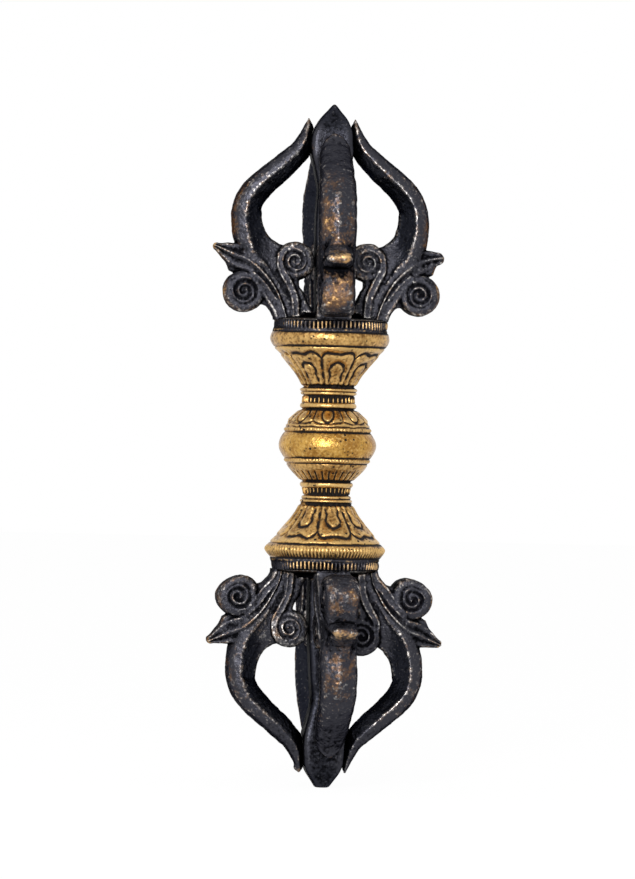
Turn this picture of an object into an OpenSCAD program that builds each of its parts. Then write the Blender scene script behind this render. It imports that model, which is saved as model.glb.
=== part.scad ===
// Five-pronged dorje (vajra): two prong crowns on a grip of stacked rings, held together by a spine rod.
// Millimetres. +Z runs along the long axis and the origin is the centre of the globe.

/* [Spine] */
// Radius of the spine rod inside the grip
spine_r = 3; // [2:0.1:3.4]
// Radius of the turned-down tenon at each end of the spine
tenon_r = 1.9; // [1.2:0.1:2.2]
// Length of each tenon inside its centre prong
tenon_l = 9; // [5:0.5:14]
// Clearance between a bore or mortise and what goes into it
fit_gap = 0.05; // [0.02:0.01:0.1]

/* [Globe] */
// Height of the smooth middle bulge
globe_h = 5.8; // [4:0.1:8]
// Largest radius of the bulge
globe_r = 10.7; // [10:0.1:13]
// Radius where the bulge meets its caps
globe_edge_r = 9.1; // [8.2:0.1:9.6]
// Height of each petalled cap of the globe
cap_h = 5.1; // [4:0.1:7]
// Largest radius of each cap
cap_r = 9.5; // [8.6:0.1:9.8]

/* [Neck] */
// Height of each neck collar
collar_h = 4.6; // [3.5:0.1:6]
// Radius over the rings of a collar
collar_r = 6.1; // [5.8:0.1:7]
// Radius of a collar between its rings
waist_r = 5.4; // [4.6:0.1:5.7]

/* [Lotus] */
// Height of each lotus cup
cup_h = 8.9; // [7:0.1:12]
// Radius of the cup at its wide end
cup_r = 12.2; // [11:0.1:14]
// Number of petals round a cup
petals = 8; // [6:1:12]
// Width of the cut between two petals
petal_cut = 0.5; // [0.3:0.1:1]
// Depth of the cut between two petals
petal_cut_depth = 0.5; // [0.3:0.1:0.9]
// Height of each moon disc
disc_h = 3.2; // [2:0.1:5]
// Largest radius of each moon disc
disc_r = 13.1; // [12:0.1:15]
// Height of each beaded ring
bead_ring_h = 2.6; // [1.6:0.1:4]
// Radius of the beaded ring over its beads
bead_ring_r = 12.3; // [11:0.1:14]
// Number of beads round the ring
beads = 84; // [24:1:100]
// Width of the notch between two beads
bead_notch = 0.4; // [0.3:0.1:0.8]

/* [Crown seat] */
// Thickness of the seat's flange
seat_h = 1.7; // [1:0.1:3]
// Radius of the seat's flange
seat_r = 12.4; // [11.8:0.1:14]
// Radius of the spigot that carries the beaded ring and the moon disc
spigot_r = 9; // [8.9:0.05:9.6]
// How far the upper crown is turned about the long axis, as it was set by hand
upper_turn = -1.5; // [-5:0.5:5]
// How far the lower crown is turned about the long axis, as it was set by hand
lower_turn = 1.5; // [-5:0.5:5]

/* [Prongs] */
// Distance of a prong's root from the long axis
root_x = 9.2; // [8.9:0.1:9.6]
// Thickness of the root along the radius
root_d = 6.2; // [5:0.1:6.4]
// Width of the root across the radius
root_w = 6.6; // [5:0.1:7.4]
// Distance of the blade's middle from the long axis at the widest point
bulge_x = 18.6; // [17:0.1:22]
// Height of the widest point above the crown seat
bulge_h = 20.5; // [18:0.5:24]
// Thickness of the blade along the radius
blade_d = 6.5; // [4:0.1:7.5]
// Width of the blade across the radius
blade_w = 8.5; // [7:0.1:9.2]
// Distance of the prong's shoulder from the long axis, where it turns up again
shoulder_x = 8.1; // [8:0.1:9.5]
// Height of the shoulder above the crown seat
shoulder_h = 34.3; // [32:0.1:38]
// Thickness of the shoulder along the radius
shoulder_d = 5; // [3.5:0.1:5.5]
// Width of the shoulder across the radius
shoulder_w = 7; // [5:0.1:8]
// Thickness of the beak, where the prong leans on the centre prong
beak_d = 4; // [3.6:0.1:4.6]
// Width of the beak across the radius
beak_w = 3.8; // [2:0.1:5]
// Distance of the prong's tip from the long axis
tip_x = 5.6; // [5.4:0.1:6]
// Height of the prong's tip above the crown seat
tip_h = 42.5; // [40:0.5:48]
// Thickness and width of the prong's tip
tip_size = 0.9; // [0.5:0.1:1.5]
// Height of the round end of the front and back prongs above the crown seat
arch_h = 39; // [37.5:0.5:41]
// Radius of the round end of the front and back prongs
arch_r = 2.8; // [2:0.1:3.4]
// Depth of the tang that goes into the crown seat
tang_l = 4; // [2:0.5:5]
// Width of the tang across the radius
tang_w = 4; // [2:0.5:4.5]
// Thickness of the tang along the radius
tang_d = 2; // [1:0.1:2.2]
// Distance of the tang from the long axis
tang_x = 7.4; // [7.2:0.1:7.5]

/* [Scrolls] */
// Thickness of the scrollwork across the radius
web_w = 5.6; // [4:0.1:6.2]
// Width of each volute across the radius
volute_w = 7.4; // [6:0.1:7.6]
// Radius of the outer volute
outer_volute_r = 4.5; // [3.5:0.1:5]
// Distance of the outer volute from the long axis
outer_volute_x = 19.1; // [18:0.1:20]
// Height of the outer volute above the crown seat
outer_volute_h = 4.3; // [3.8:0.1:6]
// Radius of the inner volute
inner_volute_r = 3.8; // [3:0.1:3.9]
// Distance of the inner volute from the long axis
inner_volute_x = 8.1; // [8:0.1:9]
// Height of the inner volute above the crown seat
inner_volute_h = 11.1; // [10:0.1:13]
// Depth of the spiral channel in a volute
spiral_depth = 0.6; // [0.3:0.1:1]
// Width of the spiral channel in a volute
spiral_w = 0.6; // [0.4:0.1:0.8]
// Turns of the spiral channel
spiral_turns = 1.75; // [1:0.25:2.25]
// Height of the scrollwork's outer foot above the crown seat
outer_foot_h = 0.4; // [0.2:0.1:1]
// Height of the scrollwork's inner foot above the crown seat
inner_foot_h = 3; // [2:0.5:4]
// Distance of the leaf's tip from the long axis
leaf_x = 25.3; // [24.6:0.1:28]
// Height of the leaf's tip above the crown seat
leaf_h = 13.9; // [13:0.1:16]
// Radius of the leaf's rounded tip
leaf_tip_r = 0.9; // [0.5:0.1:1.5]
// Radius of the leaf's root
leaf_root_r = 2; // [1.5:0.1:2.5]

/* [Centre prongs] */
// Height of a centre prong above its crown seat
centre_h = 46; // [44:0.5:54]
// Half the width of a centre prong at its root
centre_root = 3.5; // [3:0.1:3.6]
// Half the width of a centre prong at its waist
centre_waist = 3; // [2.6:0.1:3.4]
// Half the width of a centre prong's head, where the outer prongs lean on it
centre_head = 4.6; // [4.2:0.1:4.8]
// Length of the straight part of the head
head_l = 6.2; // [4:0.2:8]
// Gap between an outer prong and the head that it leans on
lean_gap = 0.05; // [0.02:0.01:0.2]
// Half the width of the upper centre prong's point
upper_point = 0.5; // [0.3:0.1:2]
// Half the width of the lower centre prong's worn, blunt tip
lower_point = 1.6; // [0.3:0.1:2]

/* [Hidden] */

gilt = "#b98a34";
patina = "#2b2826";
bare_brass = "#a8863f";

UP = 1;
DOWN = -1;
RIGHT = 0;
BACK = 90;
LEFT = 180;
FRONT = 270;

// Heights of the stacked faces above the centre of the globe
cap_z = globe_h / 2;
collar_z = cap_z + cap_h;
cup_z = collar_z + collar_h;
disc_z = cup_z + cup_h;
bead_ring_z = disc_z + disc_h;
flange_z = bead_ring_z + bead_ring_h;
crown_z = flange_z + seat_h;

bore_r = spine_r + fit_gap;
ring_bore_r = spigot_r + fit_gap;

// Height above the crown seat where the straight part of a centre prong's head begins
head_h = shoulder_h;
// A cut goes this far past the surface that it opens
past = 1;
// Straight steps in a drawn arc, and rings in one stretch of a swept prong
arc_steps = 8;
sweep_rings = 9;

function mix(a, b, t) = a + (b - a) * t;

function bezier3(p, t) =
    let (s = 1 - t)
    p[0] * s * s * s + 3 * p[1] * s * s * t + 3 * p[2] * s * t * t + p[3] * t * t * t;

function bezier2(p, t) = let (s = 1 - t) p[0] * s * s + 2 * p[1] * s * t + p[2] * t * t;

// Half-round swelling of a profile from z0 to z1, from radius r0 out to r1
function swelling(z0, z1, r0, r1) = [
    for (i = [0 : arc_steps])
        let (a = -90 + 180 * i / arc_steps)
        [r0 + (r1 - r0) * cos(a), mix(z0, z1, (1 + sin(a)) / 2)]
];

// Ring turned from a profile that starts at height 0 on the axis, with a hole for what it is threaded on
module turned(profile, bore) {
    difference() {
        rotate_extrude($fn = 96) polygon(profile);
        translate([0, 0, -past]) cylinder(r = bore, h = profile[len(profile) - 1][1] + 2 * past, $fn = 96);
    }
}

// Stands a piece at its height on the upper or the lower half
module at_end(end, z) {
    rotate([end == UP ? 0 : 180, 0, 0]) translate([0, 0, z]) children();
}

// Stands a piece on a crown seat, facing one of the four sides
module on_crown(end, side = 0) {
    turn = end == UP ? side + upper_turn : -(side + lower_turn);
    at_end(end, crown_z) rotate([0, 0, turn]) children();
}

// Grip

// Rod that every ring of the grip is threaded on
module spine_rod() {
    color(bare_brass) {
        translate([0, 0, -crown_z]) cylinder(r = spine_r, h = 2 * crown_z, $fn = 64);
        for (end = [UP, DOWN])
            at_end(end, crown_z) cylinder(r = tenon_r, h = tenon_l, $fn = 64);
    }
}

// Smooth bulge in the middle of the grip
module globe() {
    profile = concat([[0, 0]], swelling(0, globe_h, globe_edge_r, globe_r), [[0, globe_h]]);
    color(gilt) translate([0, 0, -globe_h / 2]) turned(profile, bore_r);
}

// Petalled dome between the bulge and the neck, drawn from the bulge outwards
module globe_cap(end) {
    lip = 0.11 * cap_h;
    shoulder = 0.7 * cap_h;
    dome = [[cap_r, lip], [cap_r, shoulder], [collar_r, cap_h]];
    profile = concat(
        [[0, 0], [globe_edge_r, 0], [cap_r, lip]],
        [for (i = [1 : arc_steps]) bezier2(dome, i / arc_steps)],
        [[0, cap_h]]
    );
    color(gilt) at_end(end, cap_z) turned(profile, bore_r);
}

// Waisted collar with a thick ring towards the globe and two thin ones towards the cup
module neck_collar(end) {
    thick = collar_h * 0.28;
    thin = collar_h * 0.16;
    profile = concat(
        [[0, 0]],
        swelling(0, thick, waist_r, collar_r),
        swelling(collar_h - 2 * thin, collar_h - thin, waist_r, collar_r),
        swelling(collar_h - thin, collar_h, waist_r, collar_r),
        [[0, collar_h]]
    );
    color(gilt) at_end(end, collar_z) turned(profile, bore_r);
}

// Flared cup of lotus petals, parted by straight cuts along its slope
module lotus_cup(end) {
    waist = [mix(collar_r, cup_r, 0.2), 0.45 * cup_h];
    flare = [[collar_r, 0], waist, [cup_r, cup_h]];
    profile = concat(
        [[0, 0]],
        [for (i = [0 : arc_steps]) bezier2(flare, i / arc_steps)],
        [[0, cup_h]]
    );
    cut_from = bezier2(flare, 0.12);
    cut_to = bezier2(flare, 0.86);
    run = cut_to - cut_from;
    lean = atan2(run[0], run[1]);
    color(gilt)
        at_end(end, cup_z)
            difference() {
                turned(profile, bore_r);
                for (i = [0 : petals - 1])
                    rotate([0, 0, 360 * (i + 0.5) / petals])
                        translate([cut_from[0], 0, cut_from[1]])
                            rotate([0, lean, 0])
                                translate([-2 * petal_cut_depth, -petal_cut / 2, 0])
                                    cube([2 * petal_cut_depth + past, petal_cut, norm(run)]);
            }
}

// Rounded rim that the cup opens into
module moon_disc(end) {
    edge_r = mix(ring_bore_r, disc_r, 0.82);
    profile = concat([[0, 0]], swelling(0, disc_h, edge_r, disc_r), [[0, disc_h]]);
    color(gilt) at_end(end, disc_z) turned(profile, ring_bore_r);
}

// Ring notched into a row of beads, between two plain fillets
module bead_ring(end) {
    fillet_h = bead_ring_h / 5;
    root_r = bead_ring_r - 2 * bead_notch;
    profile = concat(
        [[0, 0], [root_r, 0], [root_r, fillet_h], [bead_ring_r, fillet_h]],
        [[bead_ring_r, bead_ring_h - fillet_h], [root_r, bead_ring_h - fillet_h]],
        [[root_r, bead_ring_h], [0, bead_ring_h]]
    );
    color(patina)
        at_end(end, bead_ring_z)
            difference() {
                turned(profile, ring_bore_r);
                for (i = [0 : beads - 1])
                    rotate([0, 0, 360 * i / beads])
                        translate([root_r + bead_notch / 2, -bead_notch / 2, fillet_h])
                            cube([bead_notch + past, bead_notch, bead_ring_h - 2 * fillet_h]);
            }
}

// Crown

// Flange with a spigot below it, bored for the spine and mortised for the four tangs
module crown_seat(end) {
    spigot_l = bead_ring_h + disc_h;
    color(patina)
        on_crown(end)
            difference() {
                union() {
                    translate([0, 0, -seat_h]) cylinder(r = seat_r, h = seat_h, $fn = 96);
                    translate([0, 0, -seat_h - spigot_l]) cylinder(r = spigot_r, h = spigot_l, $fn = 96);
                }
                translate([0, 0, -seat_h - spigot_l - past])
                    cylinder(r = bore_r, h = seat_h + spigot_l + 2 * past, $fn = 96);
                for (side = [RIGHT, BACK, LEFT, FRONT])
                    rotate([0, 0, side])
                        translate([tang_x - tang_d / 2 - fit_gap, -tang_w / 2 - fit_gap, -tang_l - fit_gap])
                            cube([tang_d + 2 * fit_gap, tang_w + 2 * fit_gap, tang_l + past]);
            }
}

// Stack of square sections with nipped corners, from [half width, height] pairs
module square_spindle(stations) {
    corner = 0.72;
    outline = [
        [1, -corner], [1, corner], [corner, 1], [-corner, 1],
        [-1, corner], [-1, -corner], [-corner, -1], [corner, -1]
    ];
    points = [for (s = stations, p = outline) [s[0] * p[0], s[0] * p[1], s[1]]];
    swept_skin(points, len(outline), len(stations));
}

// Closed skin over rings of points that run anticlockwise as seen from the last ring
module swept_skin(points, sides, rings) {
    last = (rings - 1) * sides;
    walls = [
        for (r = [0 : rings - 2], i = [0 : sides - 1])
            let (a = r * sides + i, b = r * sides + (i + 1) % sides)
            each [[a, a + sides, b], [b, a + sides, b + sides]]
    ];
    caps = [
        [for (i = [0 : sides - 1]) i],
        [for (i = [0 : sides - 1]) last + sides - 1 - i]
    ];
    polyhedron(points, concat(walls, caps), convexity = 6);
}

// Four-sided centre prong: tapering shaft, a head that the others lean on, and a pyramid point
module centre_prong(end, point) {
    taper_h = 0.45 * head_h;
    waist_h = 0.8 * head_h;
    shaft = [[centre_root, 0], [centre_root, taper_h], [centre_waist, waist_h]];
    head = [
        for (i = [1 : arc_steps])
            let (t = i / arc_steps, ease = t * t * (3 - 2 * t))
            [mix(centre_waist, centre_head, ease), mix(waist_h, head_h, t)]
    ];
    top = [[centre_head, head_h + head_l], [point, centre_h]];
    color(patina)
        on_crown(end)
            difference() {
                square_spindle(concat(shaft, head, top));
                translate([0, 0, -past])
                    cylinder(r = tenon_r + fit_gap, h = tenon_l + fit_gap + past, $fn = 64);
            }
}

// Middle line of an outer prong in [distance from the axis, height]: three curves, to the bulge, to the
// shoulder and to the tip, along which s runs from 0 to 3
prong_line = [
    [[root_x, 0], [root_x, 0.3 * bulge_h], [bulge_x, 0.44 * bulge_h], [bulge_x, bulge_h]],
    [
        [bulge_x, bulge_h],
        [bulge_x, mix(bulge_h, shoulder_h, 0.45)],
        [mix(shoulder_x, bulge_x, 0.5), mix(bulge_h, shoulder_h, 0.6)],
        [shoulder_x, shoulder_h]
    ],
    [
        [shoulder_x, shoulder_h],
        [mix(shoulder_x, tip_x, 0.6), mix(shoulder_h, tip_h, 0.17)],
        [tip_x, mix(shoulder_h, tip_h, 0.5)],
        [tip_x, tip_h]
    ]
];

curves = len(prong_line);

function prong_point(s) = let (k = min(floor(s), curves - 1)) bezier3(prong_line[k], s - k);

// Direction across the blade, away from the axis
function prong_out(s) =
    let (step = 0.01, run = prong_point(min(s + step, curves)) - prong_point(max(s - step, 0)))
    s == 0 ? [1, 0] : [run[1], -run[0]] / norm(run);

function prong_depth(s) =
    lookup(s, [[0, root_d], [1, blade_d], [2, shoulder_d], [2.5, beak_d], [3, tip_size]]);

function prong_width(s) =
    lookup(s, [[0, root_w], [1, blade_w], [2, shoulder_w], [2.5, beak_w], [3, tip_size]]);

// Shield-shaped section as [share of the width, share of the depth]: a broad outer face, a ridge down
// each flank and a narrow inner edge
shield = [
    [0, 0.5], [0.28, 0.46], [0.44, 0.32], [0.5, 0.02], [0.32, -0.26], [0.14, -0.45],
    [0, -0.5], [-0.14, -0.45], [-0.32, -0.26], [-0.5, 0.02], [-0.44, 0.32], [-0.28, 0.46]
];

// Shield section swept along the middle line
module blade() {
    rings = curves * sweep_rings + 1;
    points = [
        for (r = [0 : rings - 1], p = shield)
            let (
                s = r / sweep_rings,
                centre = prong_point(s),
                out = prong_out(s) * p[1] * prong_depth(s)
            )
            [centre[0] + out[0], p[0] * prong_width(s), centre[1] + out[1]]
    ];
    swept_skin(points, len(shield), rings);
}

// Blade of a front or back prong, which ends in a round arch below the beaks of the side prongs
module arched_blade() {
    arch_z = arch_h - arch_r;
    intersection() {
        blade();
        rotate([90, 0, 90]) linear_extrude(leaf_x) {
            translate([-blade_w, 0]) square([2 * blade_w, arch_z]);
            translate([0, arch_z]) circle(r = arch_r, $fn = 64);
        }
    }
}

// Lays a flat outline in the prong's own plane and gives it a width across the radius
module across(width) {
    translate([0, width / 2, 0]) rotate([90, 0, 0]) linear_extrude(width) children();
}

// Channel that winds inwards from the rim of a volute, as a flat outline
module spiral_outline(r, turns) {
    steps_a_turn = 16;
    steps = ceil(turns * steps_a_turn);
    inner = 0.18 * r;
    outer = 0.78 * r;
    function along(i, off) =
        let (a = 360 * turns * i / steps, d = mix(outer, inner, i / steps) + off)
        [d * cos(a), d * sin(a)];
    polygon(concat(
        [for (i = [0 : steps]) along(i, spiral_w / 2)],
        [for (i = [steps : -1 : 0]) along(i, -spiral_w / 2)]
    ));
}

// Round scroll end with a spiral channel in both faces
module volute(x, h, r, start) {
    translate([x, 0, h])
        difference() {
            across(volute_w) circle(r = r, $fn = 64);
            for (face = [1, -1])
                translate([0, face * volute_w / 2, 0])
                    across(2 * spiral_depth) rotate(start) spiral_outline(r, spiral_turns);
        }
}

// Scrollwork that joins the stem to the two volutes and to the root of the leaf
module web() {
    outer = [outer_volute_x, outer_volute_h];
    inner = [inner_volute_x, inner_volute_h];
    across(web_w) {
        polygon([
            [root_x, outer_foot_h],
            [root_x + root_d / 2, outer_foot_h],
            outer + outer_volute_r * [-0.7, -0.6],
            outer,
            outer + outer_volute_r * [0.5, 0.7],
            [bulge_x + 0.4 * blade_d, leaf_h + leaf_tip_r],
            prong_point(0.7)
        ]);
        polygon([
            [root_x, inner_foot_h],
            [mix(root_x, inner_volute_x, 0.6), inner_foot_h],
            inner + inner_volute_r * [0.1, -0.8],
            inner + inner_volute_r * [0.2, 0.9],
            prong_point(0.8)
        ]);
    }
}

// Pointed leaf that stands out between the outer volute and the blade
module leaf() {
    root_up = [bulge_x + 0.2 * blade_d, leaf_h + leaf_tip_r - leaf_root_r];
    root_low = [outer_volute_x + 0.55 * outer_volute_r, outer_volute_h + 1.2 * outer_volute_r];
    hull() {
        for (p = [root_up, root_low])
            translate([p[0], web_w / 2, p[1]])
                rotate([90, 0, 0])
                    cylinder(r = leaf_root_r, h = web_w, $fn = 32);
        translate([leaf_x, 0, leaf_h]) sphere(r = leaf_tip_r, $fn = 32);
    }
}

// Outer prong, planed flat where it leans on the centre prong, with its tang in the crown seat
module outer_prong(end, side) {
    outer_start = 150;
    inner_start = 30;
    color(patina)
        on_crown(end, side) {
            difference() {
                if (side == FRONT || side == BACK)
                    arched_blade();
                else
                    blade();
                translate([-past, -blade_w, head_h - head_l])
                    cube([centre_head + lean_gap + past, 2 * blade_w, tip_h]);
            }
            web();
            leaf();
            volute(outer_volute_x, outer_volute_h, outer_volute_r, outer_start);
            volute(inner_volute_x, inner_volute_h, inner_volute_r, inner_start);
            translate([tang_x - tang_d / 2, -tang_w / 2, -tang_l]) cube([tang_d, tang_w, tang_l + tang_d / 2]);
        }
}

spine_rod();
globe();
globe_cap(UP);  // upper_globe_cap
globe_cap(DOWN);  // lower_globe_cap
neck_collar(UP);  // upper_neck_collar
neck_collar(DOWN);  // lower_neck_collar
lotus_cup(UP);  // upper_lotus_cup
lotus_cup(DOWN);  // lower_lotus_cup
moon_disc(UP);  // upper_moon_disc
moon_disc(DOWN);  // lower_moon_disc
bead_ring(UP);  // upper_bead_ring
bead_ring(DOWN);  // lower_bead_ring
crown_seat(UP);  // upper_crown_seat
crown_seat(DOWN);  // lower_crown_seat
centre_prong(UP, upper_point);  // upper_centre_prong
centre_prong(DOWN, lower_point);  // lower_centre_prong
outer_prong(UP, RIGHT);  // upper_right_prong
outer_prong(UP, BACK);  // upper_back_prong
outer_prong(UP, LEFT);  // upper_left_prong
outer_prong(UP, FRONT);  // upper_front_prong
outer_prong(DOWN, RIGHT);  // lower_right_prong
outer_prong(DOWN, BACK);  // lower_back_prong
outer_prong(DOWN, LEFT);  // lower_left_prong
outer_prong(DOWN, FRONT);  // lower_front_prong
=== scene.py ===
# %% [markdown]
# # A dorje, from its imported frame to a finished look
# A dorje is a hand-held ritual sceptre: a gilt grip of stacked rings between two dark cast crowns, each with
# four curved outer prongs that close on a centre prong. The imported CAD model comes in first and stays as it
# is. Every piece made below takes the place of one of its nodes, in metres, in the same frame. Shapes are
# worked out in millimetres, because that is how a small casting is thought of.

import math

import bpy
import numpy as np
import openvdb
from mathutils import Matrix, Vector


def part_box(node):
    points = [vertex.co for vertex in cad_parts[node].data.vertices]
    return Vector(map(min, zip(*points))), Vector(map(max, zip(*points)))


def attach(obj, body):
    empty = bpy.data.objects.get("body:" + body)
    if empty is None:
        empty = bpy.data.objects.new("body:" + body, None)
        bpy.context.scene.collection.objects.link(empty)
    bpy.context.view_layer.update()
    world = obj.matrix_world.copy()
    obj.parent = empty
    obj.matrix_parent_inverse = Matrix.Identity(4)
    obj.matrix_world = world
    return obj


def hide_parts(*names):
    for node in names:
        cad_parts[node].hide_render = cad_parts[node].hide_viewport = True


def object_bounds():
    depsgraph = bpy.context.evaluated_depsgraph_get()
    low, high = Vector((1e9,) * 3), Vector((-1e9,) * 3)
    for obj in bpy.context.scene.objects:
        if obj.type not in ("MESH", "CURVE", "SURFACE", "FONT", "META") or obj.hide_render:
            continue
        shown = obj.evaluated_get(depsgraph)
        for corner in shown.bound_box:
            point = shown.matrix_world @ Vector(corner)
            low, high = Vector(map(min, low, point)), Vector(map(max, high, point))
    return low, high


MM = 0.001
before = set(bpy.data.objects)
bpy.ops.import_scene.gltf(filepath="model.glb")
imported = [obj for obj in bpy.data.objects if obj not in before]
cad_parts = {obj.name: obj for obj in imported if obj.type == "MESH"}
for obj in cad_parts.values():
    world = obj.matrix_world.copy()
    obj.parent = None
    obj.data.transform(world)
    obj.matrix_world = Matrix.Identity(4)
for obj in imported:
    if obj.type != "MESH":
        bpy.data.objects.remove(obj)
cad_low, cad_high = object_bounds()
print("CAD box in mm:", [round(v / MM, 2) for v in (*cad_low, *cad_high)])

# %% [markdown]
# ## The stack of heights
# The rings meet at joint lines, mirrored on the two halves. The heights could be typed in, but read from
# the frame they follow the CAD when a length changes.

# %% Read the joint lines


def top_of(node):
    """Highest point of a CAD node, in mm above the middle of the grip."""
    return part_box(node)[1].z / MM


globe_top = top_of("globe")
cap_top = top_of("upper_globe_cap")
collar_top = top_of("upper_neck_collar")
cup_top = top_of("upper_lotus_cup")
disc_top = top_of("upper_moon_disc")
bead_top = top_of("upper_bead_ring")
seat_top = top_of("upper_crown_seat")
point_top = top_of("upper_centre_prong")
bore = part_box("spine_rod")[1].x / MM
print("joint lines:", [round(v, 2) for v in (globe_top, cap_top, collar_top, cup_top, disc_top)])
print("crown:", [round(v, 2) for v in (bead_top, seat_top, point_top)], "bore radius:", round(bore, 2))

# %% [markdown]
# ## Camera
# The rings look flat and the prongs show a little of their left sides: a long lens from far off, level, a
# few degrees to the left. The object leans in the picture. Tilting it would leave the shared frame, so the
# camera rolls.

# %% Camera
CAMERA_TURN = math.radians(-5.5)
CAMERA_ROLL = math.radians(1.38)
CAMERA_FAR = 1.2
VIEW_TALL = 0.1928
AIM_SIDE = -0.00215
AIM_UP = 0.0013


def add_object(name, data):
    """Puts a new object in the scene."""
    made = bpy.data.objects.new(name, data)
    bpy.context.scene.collection.objects.link(made)
    return made


camera = add_object("camera", bpy.data.cameras.new("camera"))
camera.data.lens = camera.data.sensor_width * CAMERA_FAR / VIEW_TALL
toward = Vector((math.sin(CAMERA_TURN), -math.cos(CAMERA_TURN), 0))
camera_turn = toward.to_track_quat("Z", "Y").to_matrix() @ Matrix.Rotation(CAMERA_ROLL, 3, "Z")
camera_place = toward * CAMERA_FAR + camera_turn @ Vector((AIM_SIDE, AIM_UP, 0))
camera.matrix_world = Matrix.Translation(camera_place) @ camera_turn.to_4x4()
bpy.context.scene.camera = camera
bpy.context.scene.view_settings.view_transform = "Standard"
print("lens:", round(camera.data.lens), "mm")

# %% [markdown]
# ## Shader nodes in one line each
# A finish in Blender is a tree of nodes. It can be drawn in the shader editor, but a script can be read
# and run again. These helpers make a node and fill its inputs in one line.

# %% Node helpers


def feed(tree, sockets, values):
    """Fills input sockets. A value is a socket to link from, or a plain number or colour."""
    for name, value in values.items():
        if isinstance(value, bpy.types.NodeSocket):
            tree.links.new(value, sockets[name])
        else:
            sockets[name].default_value = value


def node(tree, kind, inputs=None, **options):
    """Makes a shader node in a tree."""
    made = tree.nodes.new("ShaderNode" + kind)
    for name, value in options.items():
        setattr(made, name, value)
    feed(tree, made.inputs, inputs or {})
    return made


def math_of(tree, operation, first, second=0.0):
    """One sum on two values."""
    return node(tree, "Math", {0: first, 1: second}, operation=operation).outputs[0]


def any_of(tree, *masks):
    """The largest of several masks."""
    top = masks[0]
    for mask in masks[1:]:
        top = math_of(tree, "MAXIMUM", top, mask)
    return top


# %% [markdown]
# ## The white room
# The photograph has a plain white ground. A bright world would give that but flood the object with light,
# so it is white where it is seen and dimmer as a light. The Light Path node tells the two apart.

# %% World
ROOM_LIGHT = 0.62
WHITE = (1, 1, 1, 1)


def looked_at(tree):
    """1 for what is seen, straight or reflected, and 0 for what only sends light."""
    ray = node(tree, "LightPath").outputs
    return any_of(tree, ray["Is Camera Ray"], ray["Is Glossy Ray"], ray["Is Transmission Ray"])


world = bpy.data.worlds.new("white_room")
bpy.context.scene.world = world
world.use_nodes = True
sky = world.node_tree
sky.nodes.clear()
lit = node(sky, "Background", {"Color": WHITE, "Strength": ROOM_LIGHT})
shown = node(sky, "Background", {"Color": WHITE, "Strength": 1.0})
room = node(sky, "MixShader", {0: looked_at(sky), 1: lit.outputs[0], 2: shown.outputs[0]})
node(sky, "OutputWorld", {"Surface": room.outputs[0]})
print("room light:", ROOM_LIGHT)

# %% [markdown]
# ## The lamp
# Highlights on the globe and the rims show a lamp beside the camera, a little to the left and above. A
# point lamp would make hard dots of them, so it is an area lamp, tall and narrow.

# %% Lamp
LAMP_FAR = 1.0
LAMP_TURN = CAMERA_TURN - math.radians(9)
LAMP_RISE = math.radians(15)
LAMP_WIDE = 0.2
LAMP_TALL = 1.0
LAMP_POWER = 9.0

lamp = add_object("soft_lamp", bpy.data.lights.new("soft_lamp", "AREA"))
lamp.data.shape = "ELLIPSE"
lamp.data.size = LAMP_WIDE
lamp.data.size_y = LAMP_TALL
lamp.data.energy = LAMP_POWER
level = math.cos(LAMP_RISE)
lamp_way = Vector((math.sin(LAMP_TURN) * level, -math.cos(LAMP_TURN) * level, math.sin(LAMP_RISE)))
lamp_turn = lamp_way.to_track_quat("Z", "Y").to_matrix().to_4x4()
lamp.matrix_world = Matrix.Translation(lamp_way * LAMP_FAR) @ lamp_turn
print("lamp:", LAMP_POWER, "W")

# %% [markdown]
# ## The floor
# The object stands on its blunt lower point, on a white sheet. A matte sheet would turn grey away from the
# lamp, so most of what is seen is an even glow, and a matte share keeps the shadow.

# %% Floor
FLOOR_HALF = 3.0
FLOOR_SHADOW = 0.06
FLOOR_WHITE = 1.015
PAPER = (0.97, 0.97, 0.97, 1)

floor_mesh = bpy.data.meshes.new("floor_sheet")
corners = [(x * FLOOR_HALF, y * FLOOR_HALF, cad_low.z) for x, y in ((-1, -1), (1, -1), (1, 1), (-1, 1))]
floor_mesh.from_pydata(corners, [], [(0, 1, 2, 3)])
floor = add_object("floor_sheet", floor_mesh)
paper = bpy.data.materials.new("white_sheet")
paper.use_nodes = True
sheet = paper.node_tree
sheet.nodes.clear()
glow = math_of(sheet, "MULTIPLY", looked_at(sheet), 1 - FLOOR_SHADOW)
matte = node(sheet, "BsdfDiffuse", {"Color": PAPER})
white = node(sheet, "Emission", {"Color": WHITE, "Strength": FLOOR_WHITE})
face = node(sheet, "MixShader", {0: glow, 1: matte.outputs[0], 2: white.outputs[0]})
node(sheet, "OutputMaterial", {"Surface": face.outputs[0]})
floor_mesh.materials.append(paper)
print("floor at", round(cad_low.z / MM, 2), "mm")

# %% [markdown]
# ## Hollows and ridges
# On an old casting soot stays in the hollows and hands polish the ridges. Here the hollows also hold
# painted shade, and the ridges take painted highlights. Pointiness sees only the nearest points, so each
# mesh below carries a relief attribute, the height of a point above the surface around it, less grime and
# painted shade counted as depth. This group, shared by several finishes, makes two ragged masks of it.

# %% Group helpers


def new_group(name, inputs, outputs):
    """An empty shader node group with number inputs and number outputs."""
    tree = bpy.data.node_groups.new(name, "ShaderNodeTree")
    for label, value in inputs.items():
        tree.interface.new_socket(label, in_out="INPUT", socket_type="NodeSocketFloat").default_value = value
    for label in outputs:
        tree.interface.new_socket(label, in_out="OUTPUT", socket_type="NodeSocketFloat")
    print("group:", name, "gives", *outputs)
    return tree, tree.nodes.new("NodeGroupInput").outputs, tree.nodes.new("NodeGroupOutput").inputs


def times(tree, first, second):
    """The product of two values."""
    return math_of(tree, "MULTIPLY", first, second)


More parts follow.
